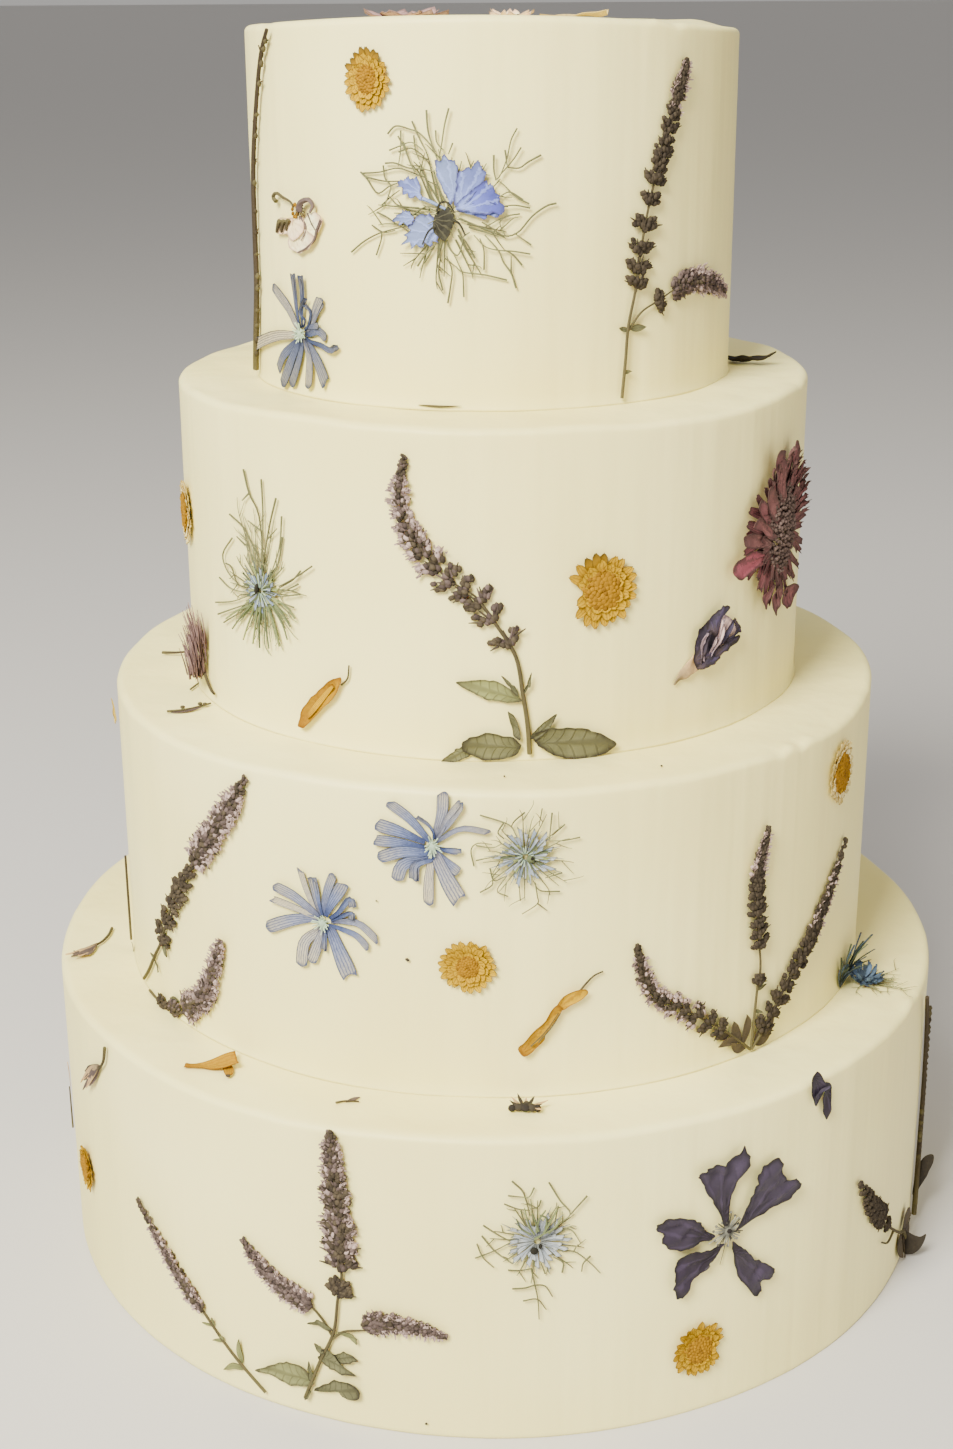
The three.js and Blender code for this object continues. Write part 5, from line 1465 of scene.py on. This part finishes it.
# its hooked sepal, the curl in the middle, the bands of the calyx and the brown creases:
# midline in mm, width and finish
BLOSSOM_LINES = [
    ([(-10.7, 4.2), (-12.5, 5.3), (-10.5, 6.6), (-7.1, 5.7), (-3.4, 4.8), (-1.5, 3.5)], 1.4, STEM),
    ([(1.7, 2.3), (2.3, 4.6), (5.5, 5.9), (7.5, 4.4), (6.2, 2.3)], 2.2, FLORET_MAUVE),
    ([(-8.8, -1.2), (-10, -3), (-11, -4.8)], 1.7, STEM), ([(-6.4, -1), (-7.4, -2.7), (-8.2, -4.6)],
     1.7, STEM), ([(-4.2, -0.6), (-5, -2.2), (-5.6, -3.9)], 1.5, STEM),
    ([(10.2, 0.3), (8.4, -2.7), (7.1, -5.6), (3.5, -8.2), (-0.3, -9.7)], 1.2, FLORET_MAUVE),
    ([(1.2, 0.8), (3.7, -2.4), (1.3, -6.1)], 0.8, FLORET_MAUVE),
    ([(4.4, 1.9), (6, -1.1), (8, -3.3)], 0.6, FLORET_MAUVE),
]
bm = new_flower()
chance = random.Random(700)
for i, outline in enumerate(BLOSSOM_OUTLINES):
    blade(bm, outline, BLOSSOM, 0.3 * i, squares=10, low=0.2 + 0.1 * i, crumple=0.6, curl=0.25,
          ragged=0.5)
blade(bm, [(-10.6, -0.8), (-12.4, -5), (-5, -4.4), (-2.6, -0.2), (-6.4, -0.4)], BLOSSOM, 0.8,
      squares=6, low=0.1, lift=0.2)
for line, wide, finish in BLOSSOM_LINES:
    stalk(bm, line, wide, finish, chance.random(), rows=14, low=0.5, taper=0.4)
for i in range(9):
    turn = 0.7 + 0.4 * i
    foot = Vector((1, 3))
    stalk(bm, [foot, foot + way(turn) * (2 + 2 * chance.random())],
          0.4, STEM, 0.9, rows=3, sides=4, low=1.0)
for i in range(9):
    spot = (-1.2 + 1.3 * math.sin(0.7 * i), 2.2 + 1.8 * math.cos(0.7 * i))
    bead(bm, spot, (0.6, 0.7, 0.5), 0.6, DAISY_HEART, chance.random(), out=0.9)
lay_down("blossom_4a_dried", bm, on_side(4, -47.5, 52.5), "pale_petals", "blossom_4a")

for name, lay, across, up, colour, count in (
    ("top_pink_blossom", on_top(4, -27, 6), 14, 12, PINK, 9),
    ("top_white_blossom", on_top(4, 6, -4), 8, 7, BLOSSOM, 6),
):
    bm = new_flower()
    chance = random.Random(710 + count)
    for i in range(count):
        turn = 2 * math.pi * (i + 0.3 * chance.random()) / count
        towards = way(turn, across, up)
        reach = 0.8 + 0.2 * chance.random()
        petal(bm, [towards * 0.1, towards * 0.5, towards * reach], across * 0.62, rounded, colour,
              chance.random(), columns=6, low=0.1 + 0.2 * (i % 2),
              lift=1.4 + 0.8 * chance.random(), cup=0.8, crumple=0.8)
    for i in range(18):
        turn = GOLDEN * i
        foot = way(turn)
        stalk(bm, [foot * 0.4, foot * (2 + 1.6 * chance.random())], 0.3, STEM, 0.4, rows=2,
              sides=4, low=0.9, lift=0.8)
    lay_down(name + "_dried", bm, lay, "pale_petals", name)

# ---------------------------------------------------------------- loose petals and leaves
# Single marigold petals, a torn mallow petal that hangs over a rim, a nearly black leaf, a dark
# striped calyx and a bit of sprig.
MARIGOLD = dried("marigold_petal", [(0, (130, 88, 1)), (0.5, (154, 114, 1)),
                 (1, (146, 102, 1))], faded=(182, 142, 4), edge=(116, 76, 4),
                 edge_from=0.84, veins=(142, 96, 4), vein_count=4, vein_depth=0.5)
STRAW = dried("straw_petal", [(0, (166, 138, 70)), (1, (186, 160, 88))], faded=(206, 184, 122),
              mottle=0.3)
PALE_STALK = dried("pale_stalk", [(0, (118, 106, 82)), (1, (200, 164, 116))])
BLACK = dried("nearly_black", [(0, (39, 35, 33)), (1, (51, 47, 43))], faded=(70, 64, 53),
              mottle=0.3)


def creased(share):
    """The width of a petal folded along its middle: narrow at both ends."""
    return 0.45 + 0.55 * math.sin(math.pi * (0.1 + 0.8 * share**0.7))


def clawed(share):
    """A petal with a third of its length drawn in to a narrow claw."""
    return 0.3 if share < 0.35 else 0.3 + 0.7 * math.sin(math.pi * (share - 0.35) / 1.1)


# a whole petal on the foot of the third tier, creased along its middle
bm = new_flower()
blade(bm, [(-0.3, 0.6), (0.3, 3.9), (2.7, 8.2), (6.6, 12.4), (11.8, 17.1), (15.3, 18.8),
           (15.2, 16.3), (13, 12.2), (9, 7.8), (4.4, 3.1), (1.6, 0.3)], MARIGOLD, 0.2,
      squares=14, crumple=0.9, curl=0.8, ragged=0.4)
petal(bm, [(3, 4), (8, 10), (13, 16)], 1.8, creased, MARIGOLD, 0.9, rows=10, low=1.4)
stalk(bm, [(15, 16), (17.2, 18.4), (17.8, 22.5)], 0.7, STEM, 0.4)
lay_down("petal_3a_dried", bm, on_side(3, -34.7, 4.6), "yellow_petals", "petal_3a")

# two petals that still hang together, with dark veins and a hooked stalk
MARIGOLD_2A = [
    [(-0.3, 2.3), (1.5, 4.9), (4.1, 7.8), (7.7, 11.3), (10, 15.7), (11.5, 16.6), (12.7, 15.2),
     (10.9, 11.7), (8, 7.2), (7.1, 4.6), (4.8, 2.1), (1.5, -0.1)],
    [(10.9, 15.6), (13, 18.8), (15.7, 20.5), (19.3, 21.1), (20.2, 19.4), (18.1, 17.6), (15.1, 16),
     (12.7, 14.8)],
]
bm = new_flower()
blade(bm, MARIGOLD_2A[0], MARIGOLD, 0.5, squares=14, crumple=0.9, curl=0.5, ragged=0.4)
blade(bm, MARIGOLD_2A[1], MARIGOLD, 0.9, low=0.5, crumple=0.8, curl=0.5)
bracts(bm, [[(3.4, 3.4), (7.6, 8), (11.4, 14)], [(5.6, 4.6), (9.4, 9.4), (12, 14)]], 0.4,
       chance, STEM, 1.3)
stalk(bm, [(17.6, 19.4), (20, 22.4), (22.4, 24.6), (25, 25.6)], 0.7, STEM, 0.8)
lay_down("petal_2a_dried", bm, on_side(2, 3.2, 14.8), "yellow_petals", "petal_2a")

# a petal on the ledge with its claw to the left and its tip bent down
bm = new_flower()
petal(bm, [(-1.6, 2.6), (4, 1.6), (9, 2.6), (14.4, 4)], 8.8, clawed, MARIGOLD, 0.3, rows=16,
      columns=8, lift=1.0, cup=0.8, crumple=0.8)
petal(bm, [(11.6, 2), (12.4, -1.4), (12.8, -4.4)], 3.2, creased, MARIGOLD, 0.1, rows=6, low=0.5)
bead(bm, (12.6, -4.8), (0.9, 0.8, 0.4), 0, FLORET, 0.4, out=0.8)
lay_down("petal_1a_dried", bm, on_top(1, -94, -111), "yellow_petals", "petal_1a")

# the curled one on the very top
bm = new_flower()
petal(bm, [(-12, 0), (-1, 1), (9, -1)], 8, creased, STRAW, 0.6, rows=14, columns=6, low=0.5,
      lift=0.3, cup=1.2, crumple=1.2)
lay_down("top_yellow_petal_dried", bm, on_top(4, 27, 8), "yellow_petals", "top_yellow_petal")

# the mallow petal over the rim, torn in two, and the scrap between
TORN_1B = [
    [(-0.7, 5), (2.2, 1.8), (4.3, -1.7), (2.2, -4.4), (-0.3, -6.9), (-1.9, -3.5), (-2.7, 1.9)],
    [(4.2, -0.6), (6.7, -2.6), (6.7, -7.8), (6.6, -12.7), (4.8, -13.4), (3, -8.1), (3.1, -3.7)],
    [(-1.4, -3.4), (1.1, -1.9), (5.3, -1.7), (4.9, -2.6), (1.2, -3.3), (-0.4, -4.8)],
]
bm = new_flower()
for outline, fade in zip(TORN_1B, (0.2, 0.0, 1.0)):
    blade(bm, outline, MALLOW, fade, squares=10, low=0.3 + 0.4 * fade, crumple=0.8, ragged=0.4)
lay_down("petal_1b_dried", bm, on_side(1, 39.5, 103), "dark_petals", "petal_1b")

# the nearly black leaf, curled and lying on the ledge
bm = new_flower()
blade(bm, [(-2, -1), (2, -2.6), (6, 0.4), (10, 4), (12, 8), (7, 8.4), (2, 5), (-1, 2.6)],
      BLACK, 0.0, squares=10, low=0.3, lift=2.6, crumple=1.2, curl=0.8, ragged=0.6, thick=0.5)
petal(bm, [(-4, 1), (1, 2), (5, 8)], 3.0, leaf_shape, BLACK, 0.1, rows=6, low=0.6, lift=1.6)
lay_down("leaf_3a_dried", bm, on_top(3, 78.5, 3, -60), "dark_petals", "leaf_3a")

# the bit of sprig: a stem, a leaf and three florets
bm = new_flower()
stalk(bm, [(-1, 1.4), (4, 0), (9, 0.4), (14, 1.6)], 0.8, STEM, 0.6, rows=12, sides=6)
petal(bm, [(0, 0.6), (5, -0.9), (10, -0.6)], 1.8, leaf_shape, FLORET_MAUVE, 0.6, columns=3,
      low=0.2)
for spot in ((4.4, 1.6), (10.4, 1.8), (11.6, 0.6)):
    bead(bm, spot, (0.9, 1.1, 0.6), 0.4, STEM, 0.5, out=0.8)
lay_down("sprig_2a_dried", bm, on_top(2, -101.5, -59, 30), "dried_green", "sprig_2a")

# the calyx: a row of swollen segments with pointed, striped tips
bm = new_flower()
for i, (spot, size) in enumerate((((0, 0), 1.2), ((1.8, 0.5), 1.7), ((3.8, 0.4), 2.0),
                                  ((5.8, 0.3), 1.8), ((7.6, -0.1), 1.3), ((4.4, 1.8), 1.5))):
    bead(bm, spot, (size, 0.8 * size, 1.2), 0.3 * i, BLACK, 0.5 * (i % 2), out=1.2, balls=2)
for i, turn in enumerate((-1.1, -0.7, -0.3, 0.1, 0.5, 1.3, 1.8, 2.6)):
    foot = Vector((2.2 + 0.6 * i, 0.8))
    tip = foot + way(turn) * (3.2 + 1.3 * (i % 3))
    petal(bm, [foot, tip], 1.1, leaf_shape, PALE_STALK if i % 2 else BLACK, 0.4, rows=5,
          columns=2, low=1.6, lift=1.0)
lay_down("calyx_1a_dried", bm, on_top(1, 5, -136), "dark_petals", "calyx_1a")

# ---------------------------------------------------------------- buds and the thistle
# A violet bud on a pale stalk with its inner petals showing, two grey-brown buds on bent stalks,
# and a bristly mauve thistle head that leans on the wall on two stalks.
BUD = dried("violet_bud", [(0, (88, 74, 70)), (0.4, (58, 52, 58)), (0.8, (50, 46, 50)),
            (1, (64, 54, 50))], faded=(66, 62, 80), edge=(42, 36, 37), veins=(78, 68, 98),
            vein_count=4, mottle=0.3)
BUD_INSIDE = dried("bud_inside", [(0, (175, 152, 165)), (1, (241, 206, 195))],
                   faded=(175, 152, 165), edge=(104, 93, 102), veins=(175, 152, 165))
BRISTLE = dried("thistle_bristle", [(0, (104, 82, 80)), (1, (150, 121, 116))],
                faded=(70, 55, 53), mottle=0.3)
# the stalk's thick end, the closed petals and the paler one inside, cut to their outlines in mm
BUD_PIECES = [
    [(-0.3, -0.2), (1.9, 0.6), (6.5, 2.3), (10, 4.4), (8.2, 8.6), (5.5, 6.6), (2.6, 3.7),
     (0.4, 1.6)],
    [(6.2, 8), (6.4, 12.7), (7.5, 16.2), (10.3, 16.6), (12.2, 18.4), (14.6, 13.6), (16.1, 8.2),
     (14.5, 4.7), (10.4, 4), (7.2, 3.7)],
    [(10.7, 15), (12.6, 19), (15.5, 21.2), (18.1, 21.6), (19.5, 20.4), (17.3, 19.3), (16.1, 17),
     (15, 12.9)],
    [(13.9, 8.7), (14.5, 14.8), (18.3, 18.5), (22.6, 15), (24.2, 11.5), (21, 9.4), (17, 7.4)],
    [(22.5, 16.6), (24, 15.4), (25.6, 13.1), (24.7, 11.4), (22.8, 11.2), (23.6, 13.2)],
    [(13.2, 6.9), (17.8, 9.7), (24.3, 10.9), (25.3, 9.7), (21.6, 7.6), (16.6, 6.5), (14.1, 4.8)],
    [(7.1, 5), (11.1, 6.7), (15.3, 6.2), (14.1, 4.2), (10.8, 3.6), (7.6, 3.6)],
]
bm = new_flower()
for outline, finish, fade, low in zip(BUD_PIECES,
                                      (PALE_STALK, BUD, BUD, BUD_INSIDE, BUD, BUD, BUD),
                                      (0.4, 0.3, 0.6, 0.0, 0.1, 0.1, 0.5),
                                      (0.3, 1.1, 1.5, 0.7, 1.2, 1.4, 1.7)):
    blade(bm, outline, finish, fade, squares=12, low=low, crumple=1.2, curl=-0.3, ragged=0.6,
          thick=0.5 if finish == PALE_STALK else 0.18)
for i, path in enumerate(([(8, 5), (9.4, 11), (11, 15.6)], [(10.4, 5), (12.6, 9.6), (13.4, 13)],
                          [(15.6, 9), (18.6, 13.6), (20.4, 17)], [(12, 7), (15.4, 12), (16, 18)],
                          [(17.6, 10), (21, 11.6), (23.4, 14.4)], [(9, 6), (8.4, 12), (9.6, 15)])):
    petal(bm, path, 1.0 + 0.3 * (i % 3), leaf_shape, BUD_INSIDE if i % 2 else BUD,
          0.5 * (i % 3), rows=10, columns=3, low=1.9, lift=0.6, cup=0.5, crumple=0.8)
lay_down("bud_3a_dried", bm, on_side(3, 32, 18.8), "dark_petals", "bud_3a")

# the two grey-brown buds: seven narrow sepals each round a bent line
for name, lay, path, body in (
    ("bud_1a", on_top(1, -141, -30, 20), [(12, 16), (10, 11), (7, 6.5), (4, 4)],
     [(5, 5), (0, 0), (-6, -3.4)]),
    ("bud_1b", on_side(1, -54, 100), [(0.4, 1), (-1.6, -5), (-6, -10)],
     [(-5, -8), (-12, -14), (-20, -23)]),
):
    bm = new_flower()
    stalk(bm, path, 1.1, STEM, 0.6, rows=10, sides=6)
    rib = midrib(body)
    for i in range(7):
        aside = side_of(rib, 0.5) * 0.55 * (i - 3)
        leaf = [rib(0.0), rib(0.5) + aside, rib(0.7 + 0.3 * (i % 3) / 2) + aside * 1.6]
        petal(bm, leaf, 2.2, leaf_shape, PALE_STALK if i % 2 else FLORET_MAUVE, 0.3 + 0.1 * i,
              columns=3, low=0.3 + 0.2 * (i % 3), lift=0.8, crumple=0.5)
    lay_down(name + "_dried", bm, lay, "dried_green", name)
# the thistle: bristles that fan out to the upper left from a knobbly foot
BRISTLES = 170
bm = new_flower()
chance = random.Random(800)
for i in range(BRISTLES):
    share = i / BRISTLES
    across = (chance.random() - 0.5) * (12 + 7 * share)
    foot = Vector((2.0 + 0.5 * across, -11 + 14 * share))
    tip = foot + Vector((-3.5 + 0.5 * across, 6.5 + 4 * share * chance.random()))
    petal(bm, [foot, (foot + tip) / 2 + Vector((0.5, 0)), tip], 1.0, tapering(0.85), BRISTLE,
          chance.random(), rows=4, columns=2, low=0.3 + 5.5 * chance.random() * (1 - 0.6 * share),
          lift=1.4 * chance.random(), thick=0.15)
for i in range(26):
    spot = (2 + 3.4 * (chance.random() - 0.5), -9.5 + 4 * chance.random())
    bead(bm, spot, (1.0, 1.3, 0.9), chance.random(), BRISTLE, chance.random(), out=1.4)
stalk(bm, [(1, -6), (6, -10), (9.5, -12.4), (12, -13)], 1.2, STEM, 0.7, rows=10, sides=6)
stalk(bm, [(0, -7), (-4, -11), (-8, -14)], 1.0, STEM, 0.6, rows=10, sides=6)
lay_down("thistle_2a_dried", bm, on_side(3, -67, 17), "dark_petals", "thistle_2a")

# two sticks on the ledge beside it
bm = new_flower()
stalk(bm, [(-9, 1.6), (-4, 0.2), (0, 0)], 1.0, STEM, 0.9, rows=6, sides=6, low=0.2, lift=0.8)
stalk(bm, [(6, -37), (9, -28), (15, -22)], 0.7, STEM, 0.6, low=0.1)
lay_down("thistle_2a_sticks", bm, on_top(2, -104.6, 0), "dark_petals")

# ---------------------------------------------------------------- bare stems
# Dark dry stems with small scars and buds left on them, one standing a little off the wall.
# the long one at the left edge of the top tier
bm = new_flower()
path = [(-1.6, -0.2), (1.9, 12), (5.5, 26), (6.2, 40), (7.3, 60), (11.9, 77), (17.9, 94),
        (23, 102)]
stalk(bm, path, 2.1, STEM, 1.0, rows=40, sides=6, lift=0.3, taper=0.5)
rib = midrib(path)
chance = random.Random(900)
for i in range(34):
    share = 0.02 + 0.94 * (i + chance.random()) / 34
    spot = rib(share) + side_of(rib, share) * (0.7 - 0.4 * share) * (1 if i % 2 else -1)
    size = 0.4 + 0.6 * chance.random()
    bead(bm, spot, (size, 1.5 * size, 0.8), 0.3, STEM, chance.random(), out=1.0)
    if i % 3 == 0:
        tip = spot + side_of(rib, share) * 2.2 * (1 if i % 2 else -1) + Vector((0, 1.5))
        stalk(bm, [spot, tip], 0.6, STEM, 0.9, rows=3, sides=4, low=0.6)
for share, aside, size in ((0.16, -3.2, 1.5), (0.2, -3.6, 1.2), (0.3, -2.8, 1.3), (0.06, -2, 1.2)):
    petal(bm, [rib(share), rib(share) + Vector((aside, 3.5))], 2.2 * size, leaf_shape,
          LEAF_DARK, 0.5, rows=6, columns=3, low=0.5)
lay_down("stem_4a_dried", bm, on_side(4, -74, 3), "dried_green", "stem_4a")

# a short one with a scrap of floret at its foot
bm = new_flower()
stalk(bm, [(1, 0), (0.4, 10), (0, 20), (-0.2, 31)], 1.0, STEM, 0.8, rows=16, sides=6, taper=0.9)
petal(bm, [(1.6, -5), (2.0, -2.4), (1.6, -0.6)], 1.6, leaf_shape, FLORET, 0.9, rows=6, columns=3)
lay_down("stem_2a_dried", bm, on_side(2, -78.5, 4), "dried_green", "stem_2a")

# two side by side at the right edge of the bottom tier, with buds between them
bm = new_flower()
stalk(bm, [(3.4, -4), (2.4, 10), (1, 40), (-6, 70), (-14, 91)], 2.1, STEM, 0.9, rows=30,
      sides=6)
stalk(bm, [(0.4, 2), (1.4, 14), (2, 30), (-0.4, 52)], 1.6, STEM, 0.7, rows=16, sides=6, low=0.6)
for i in range(26):
    spot = Vector((1.6 - 0.12 * i, 20 + 2.4 * i + chance.random()))
    size = 0.7 + 0.7 * chance.random()
    bead(bm, spot, (size, 1.4 * size, 0.9), 0, STEM, chance.random(), out=1.2)
lay_down("stem_1a_dried", bm, on_side(1, 75, 8), "dried_green", "stem_1a")


def fin(angle, height):
    """A place like a fin, for a leaf that stands off the wall."""
    wall = on_side(1, angle, height)
    return lambda across, along, out: wall(out - 2, along, across)


# two dark leaves at their foot
bm = new_flower()
blade(bm, [(0, 3), (0.2, 8), (0.8, 12.5), (2.2, 16.6), (4.2, 18.6), (6.2, 18.8), (6.4, 16.4),
           (5.2, 13.4), (4.2, 10), (2.4, 6.4), (1.2, 3.4)], BLACK, 0.4, squares=14, low=0.5,
      lift=1.5, crumple=0.8, curl=0.5)
lay_down("stem_1a_leaf", bm, fin(77, 8), "dried_green")

bm = new_flower()
blade(bm, [(0, 1), (2.6, 0.4), (4.8, 1.8), (6.6, 5), (7.4, 9), (5.6, 8), (3.8, 8.2), (0, 9)],
      BLACK, 0.4, squares=12, low=0.5, lift=1.5, crumple=0.8, curl=0.5)
lay_down("spike_1c_leaf", bm, fin(68, 1.6), "dried_green")

# ---------------------------------------------------------------- crumbs and loose flowers
# Scraps that fell while the flowers were pressed on: bits of petal and stem on the ledges. The
# sides and the back are dressed in the same way as the front, with small loose flowers, single
# petals, buds and leaves set between the large ones.
bm = new_flower()
blade(bm, [(-2, -4), (0.6, -4.4), (2.4, 0), (1.4, 4.6), (-1, 3.6), (-2, 0)], DAISY_BLEACHED, 1.0,
      low=0.3, lift=1.4, crumple=0.8)
lay_down("scrap_of_daisy", bm, on_side(2, -78, 88), "yellow_petals")

bm = new_flower()
stalk(bm, [(-3, 0), (0, 0.8), (4, 0.2)], 0.7, STEM, 0.7)
petal(bm, [(0, 0.6), (2.4, 2.2), (4.4, 2.6)], 1.6, leaf_shape, FLORET_MAUVE, 0.4, rows=5, columns=3)
lay_down("scrap_of_leaf", bm, on_top(1, -44.5, -131, 4), "dried_green")

bm = new_flower()
stalk(bm, [(0, 0), (-1, 8), (-2.6, 15)], 0.7, STEM, 0.5)
petal(bm, [(-2.6, 15), (-5, 19), (-4, 24)], 2.4, leaf_shape, PALE_STALK, 0.6, rows=6, columns=3)
lay_down("scrap_of_stem", bm, on_side(1, -76, 40), "dried_green")

bm = new_flower()
for spot, size in (((0, 0), 0.8), ((-9, 18), 0.35), ((-14, 5), 0.3)):
    bead(bm, spot, (size, 0.7 * size, 0.4), 0.5, BLACK, 0.6, out=0.25)
lay_down("specks", bm, on_side(2, -11.5, 45), "dark_petals")

bm = new_flower()
for spot, size in (((0, 0), 0.45), ((-46, -8), 0.35)):
    bead(bm, spot, (size, 0.8 * size, 0.3), 0.2, BLACK, 0.6, out=0.2)
lay_down("specks_above", bm, on_top(2, 49, -107), "dark_petals")

bm = new_flower()
bead(bm, (0, 0), (0.5, 0.4, 0.3), 0.2, BLACK, 0.6, out=0.2)
bead(bm, (0.1, 0.2), (0.4, 0.3, 0.3), 0.2, BLACK, 0.6, out=0.2)
lay_down("speck_below", bm, on_side(1, -8, 5), "dark_petals")

# the small loose flowers of the sides, the back and the ledges: kind and place
LOOSE = [
    ("daisy", on_side(4, 128, 84)), ("petal", on_side(4, 116, 70)), ("leaf", on_side(4, -112, 26)),
    ("chicory", on_side(4, -118, 74)), ("bud", on_side(4, -168, 88)),
    ("petal", on_side(4, 178, 20)), ("chicory", on_side(3, 102, 66)), ("bud", on_side(3, 108, 24)),
    ("daisy", on_side(3, -104, 30)), ("petal", on_side(3, -103, 84)),
    ("leaf", on_side(3, 154, 18)), ("nigella", on_side(3, -166, 72)),
    ("daisy", on_side(2, 98, 24)), ("petal", on_side(2, 138, 22)), ("bud", on_side(2, -108, 22)),
    ("nigella", on_side(2, -112, 66)), ("chicory", on_side(2, -168, 30)),
    ("leaf", on_side(2, 176, 78)), ("nigella", on_side(1, 98, 72)), ("petal", on_side(1, 108, 22)),
    ("bud", on_side(1, 140, 24)), ("daisy", on_side(1, -128, 72)), ("leaf", on_side(1, 178, 18)),
    ("petal", on_side(1, -104, 22)), ("petal", on_top(3, 30, 82, 40)),
    ("bud", on_top(2, -50, 102, 120)), ("daisy", on_top(1, 60, 122)),
    ("leaf", on_top(1, -80, 112, 60)),
]
for number, (kind, lay) in enumerate(LOOSE):
    bm = new_flower()
    chance = random.Random(950 + number)
    turn = 360 * chance.random()
    if kind == "daisy":
        size = 7.5 + 2.5 * chance.random()
        daisy(bm, size, 1.05 * size, 0.5 * chance.random(), None, (turn - 180, turn - 120), 0.46,
              chance)
        slot = "yellow_petals"
    elif kind == "chicory":
        chicory(bm, [(ray(turn + 26 * i, 11 + 5 * chance.random()), 2.6 + 1.6 * chance.random(),
                      chance.random(), chance.random() < 0.3) for i in range(13)],
                CHICORY_PETAL, chance)
        slot = "blue_petals"
    elif kind == "nigella":
        rays(bm, [(turn + 24 * i, 1, 7 + 3 * chance.random(), 2.6, chance.random())
                  for i in range(15)], chance)
        collar(bm, [math.radians(turn + 18 * i) for i in range(20)], 3, 9, 5, 0.5, chance)
        hairs(bm, 14, 5, chance)
        slot = "pale_petals"
    elif kind == "petal":
        path = ray(turn, 17 + 4 * chance.random())
        petal(bm, path, 6.5, creased, MARIGOLD, chance.random(), rows=14, columns=8, cup=1.0,
              crumple=0.8)
        stalk(bm, [path[0] * 1.5, path[0], -path[0] * 3], 0.7, STEM, 0.4)
        slot = "yellow_petals"
    elif kind == "leaf":
        path = ray(turn, 15 + 6 * chance.random())
        petal(bm, path, 8, leaf_shape, LEAF, chance.random(), rows=22, columns=8, cup=0.4,
              crumple=0.6, wave=0.07)
        petal(bm, [-path[1], Vector((0, 0)), path[0] * 3], 5, leaf_shape, LEAF_DARK, 0.2,
              rows=14, columns=6, low=0.5, crumple=0.6, wave=0.07)
        slot = "dried_green"
    else:
        path = ray(turn, 13 + 4 * chance.random())
        stalk(bm, [-path[1], Vector((0, 0)), path[1]], 1.2, PALE_STALK, 0.3, rows=10, sides=6)
        for i in range(6):
            aside = Vector((path[1].y, -path[1].x)) * 0.12 * (i - 2.5)
            petal(bm, [path[0], path[1] + aside, path[2] + 1.5 * aside], 4.4, leaf_shape,
                  BUD_INSIDE if i == 3 else BUD, chance.random(), rows=10,
                  low=0.5 + 0.25 * (i % 3), crumple=0.8)
        slot = "dark_petals"
    lay_down("loose_%s_%02d" % (kind, number), bm, lay, slot)

# a thin dark strip of painted shade in the crease where the top tier doesn't quite touch the one
# below
bm = new_flower()
petal(bm, [(-6.6, 0), (0, -0.2), (6.6, 0.2)], 0.7, leaf_shape, STEM, 0.2, rows=12, columns=2,
      low=0)
lay_down("painted_shade_at_the_foot", bm, on_side(4, -11.7, 1.5), "dark_petals")

# ---------------------------------------------------------------- floor and light
# A pale table and three soft studio lamps, the strongest from the left front.
bm = bmesh.new()
bmesh.ops.create_grid(bm, x_segments=1, y_segments=1, size=60)
mesh = bpy.data.meshes.new("table")
bm.to_mesh(mesh)
bm.free()
table_finish, nodes, links, surface = shader("pale_table", 0.7, 0.2)
surface.inputs["Base Color"].default_value = linear(200, 198, 196)
mesh.materials.append(table_finish)
table = bpy.data.objects.new("table", mesh)
bpy.context.scene.collection.objects.link(table)

# name, place and size in metres, watts, colour
LAMPS = [
    ("key", (-0.683, -1.285, 1.42), (0.7, 0.7), 112, (1.0, 0.955, 0.83)),
    ("fill", (1.4, -1.0, 0.6), (1.2, 1.2), 8, (1.0, 0.82, 0.66)),
    ("top", (-0.2, 0.3, 1.5), (1.2, 1.2), 5, (1.0, 0.97, 0.92)),
]
for name, place, size, power, colour in LAMPS:
    lamp = bpy.data.lights.new(name, "AREA")
    lamp.shape = "RECTANGLE"
    lamp.size, lamp.size_y = size
    lamp.energy = power
    lamp.color = colour
    holder = bpy.data.objects.new(name, lamp)
    holder.location = place
    aim = Vector((0, 0, 0.2)) - Vector(place)
    holder.rotation_euler = aim.to_track_quat("-Z", "Y").to_euler()
    bpy.context.scene.collection.objects.link(holder)
world = bpy.data.worlds.new("room")
world.use_nodes = True
world.node_tree.nodes["Background"].inputs["Color"].default_value = (1.0, 0.97, 0.93, 1)
world.node_tree.nodes["Background"].inputs["Strength"].default_value = 0.45
bpy.context.scene.world = world
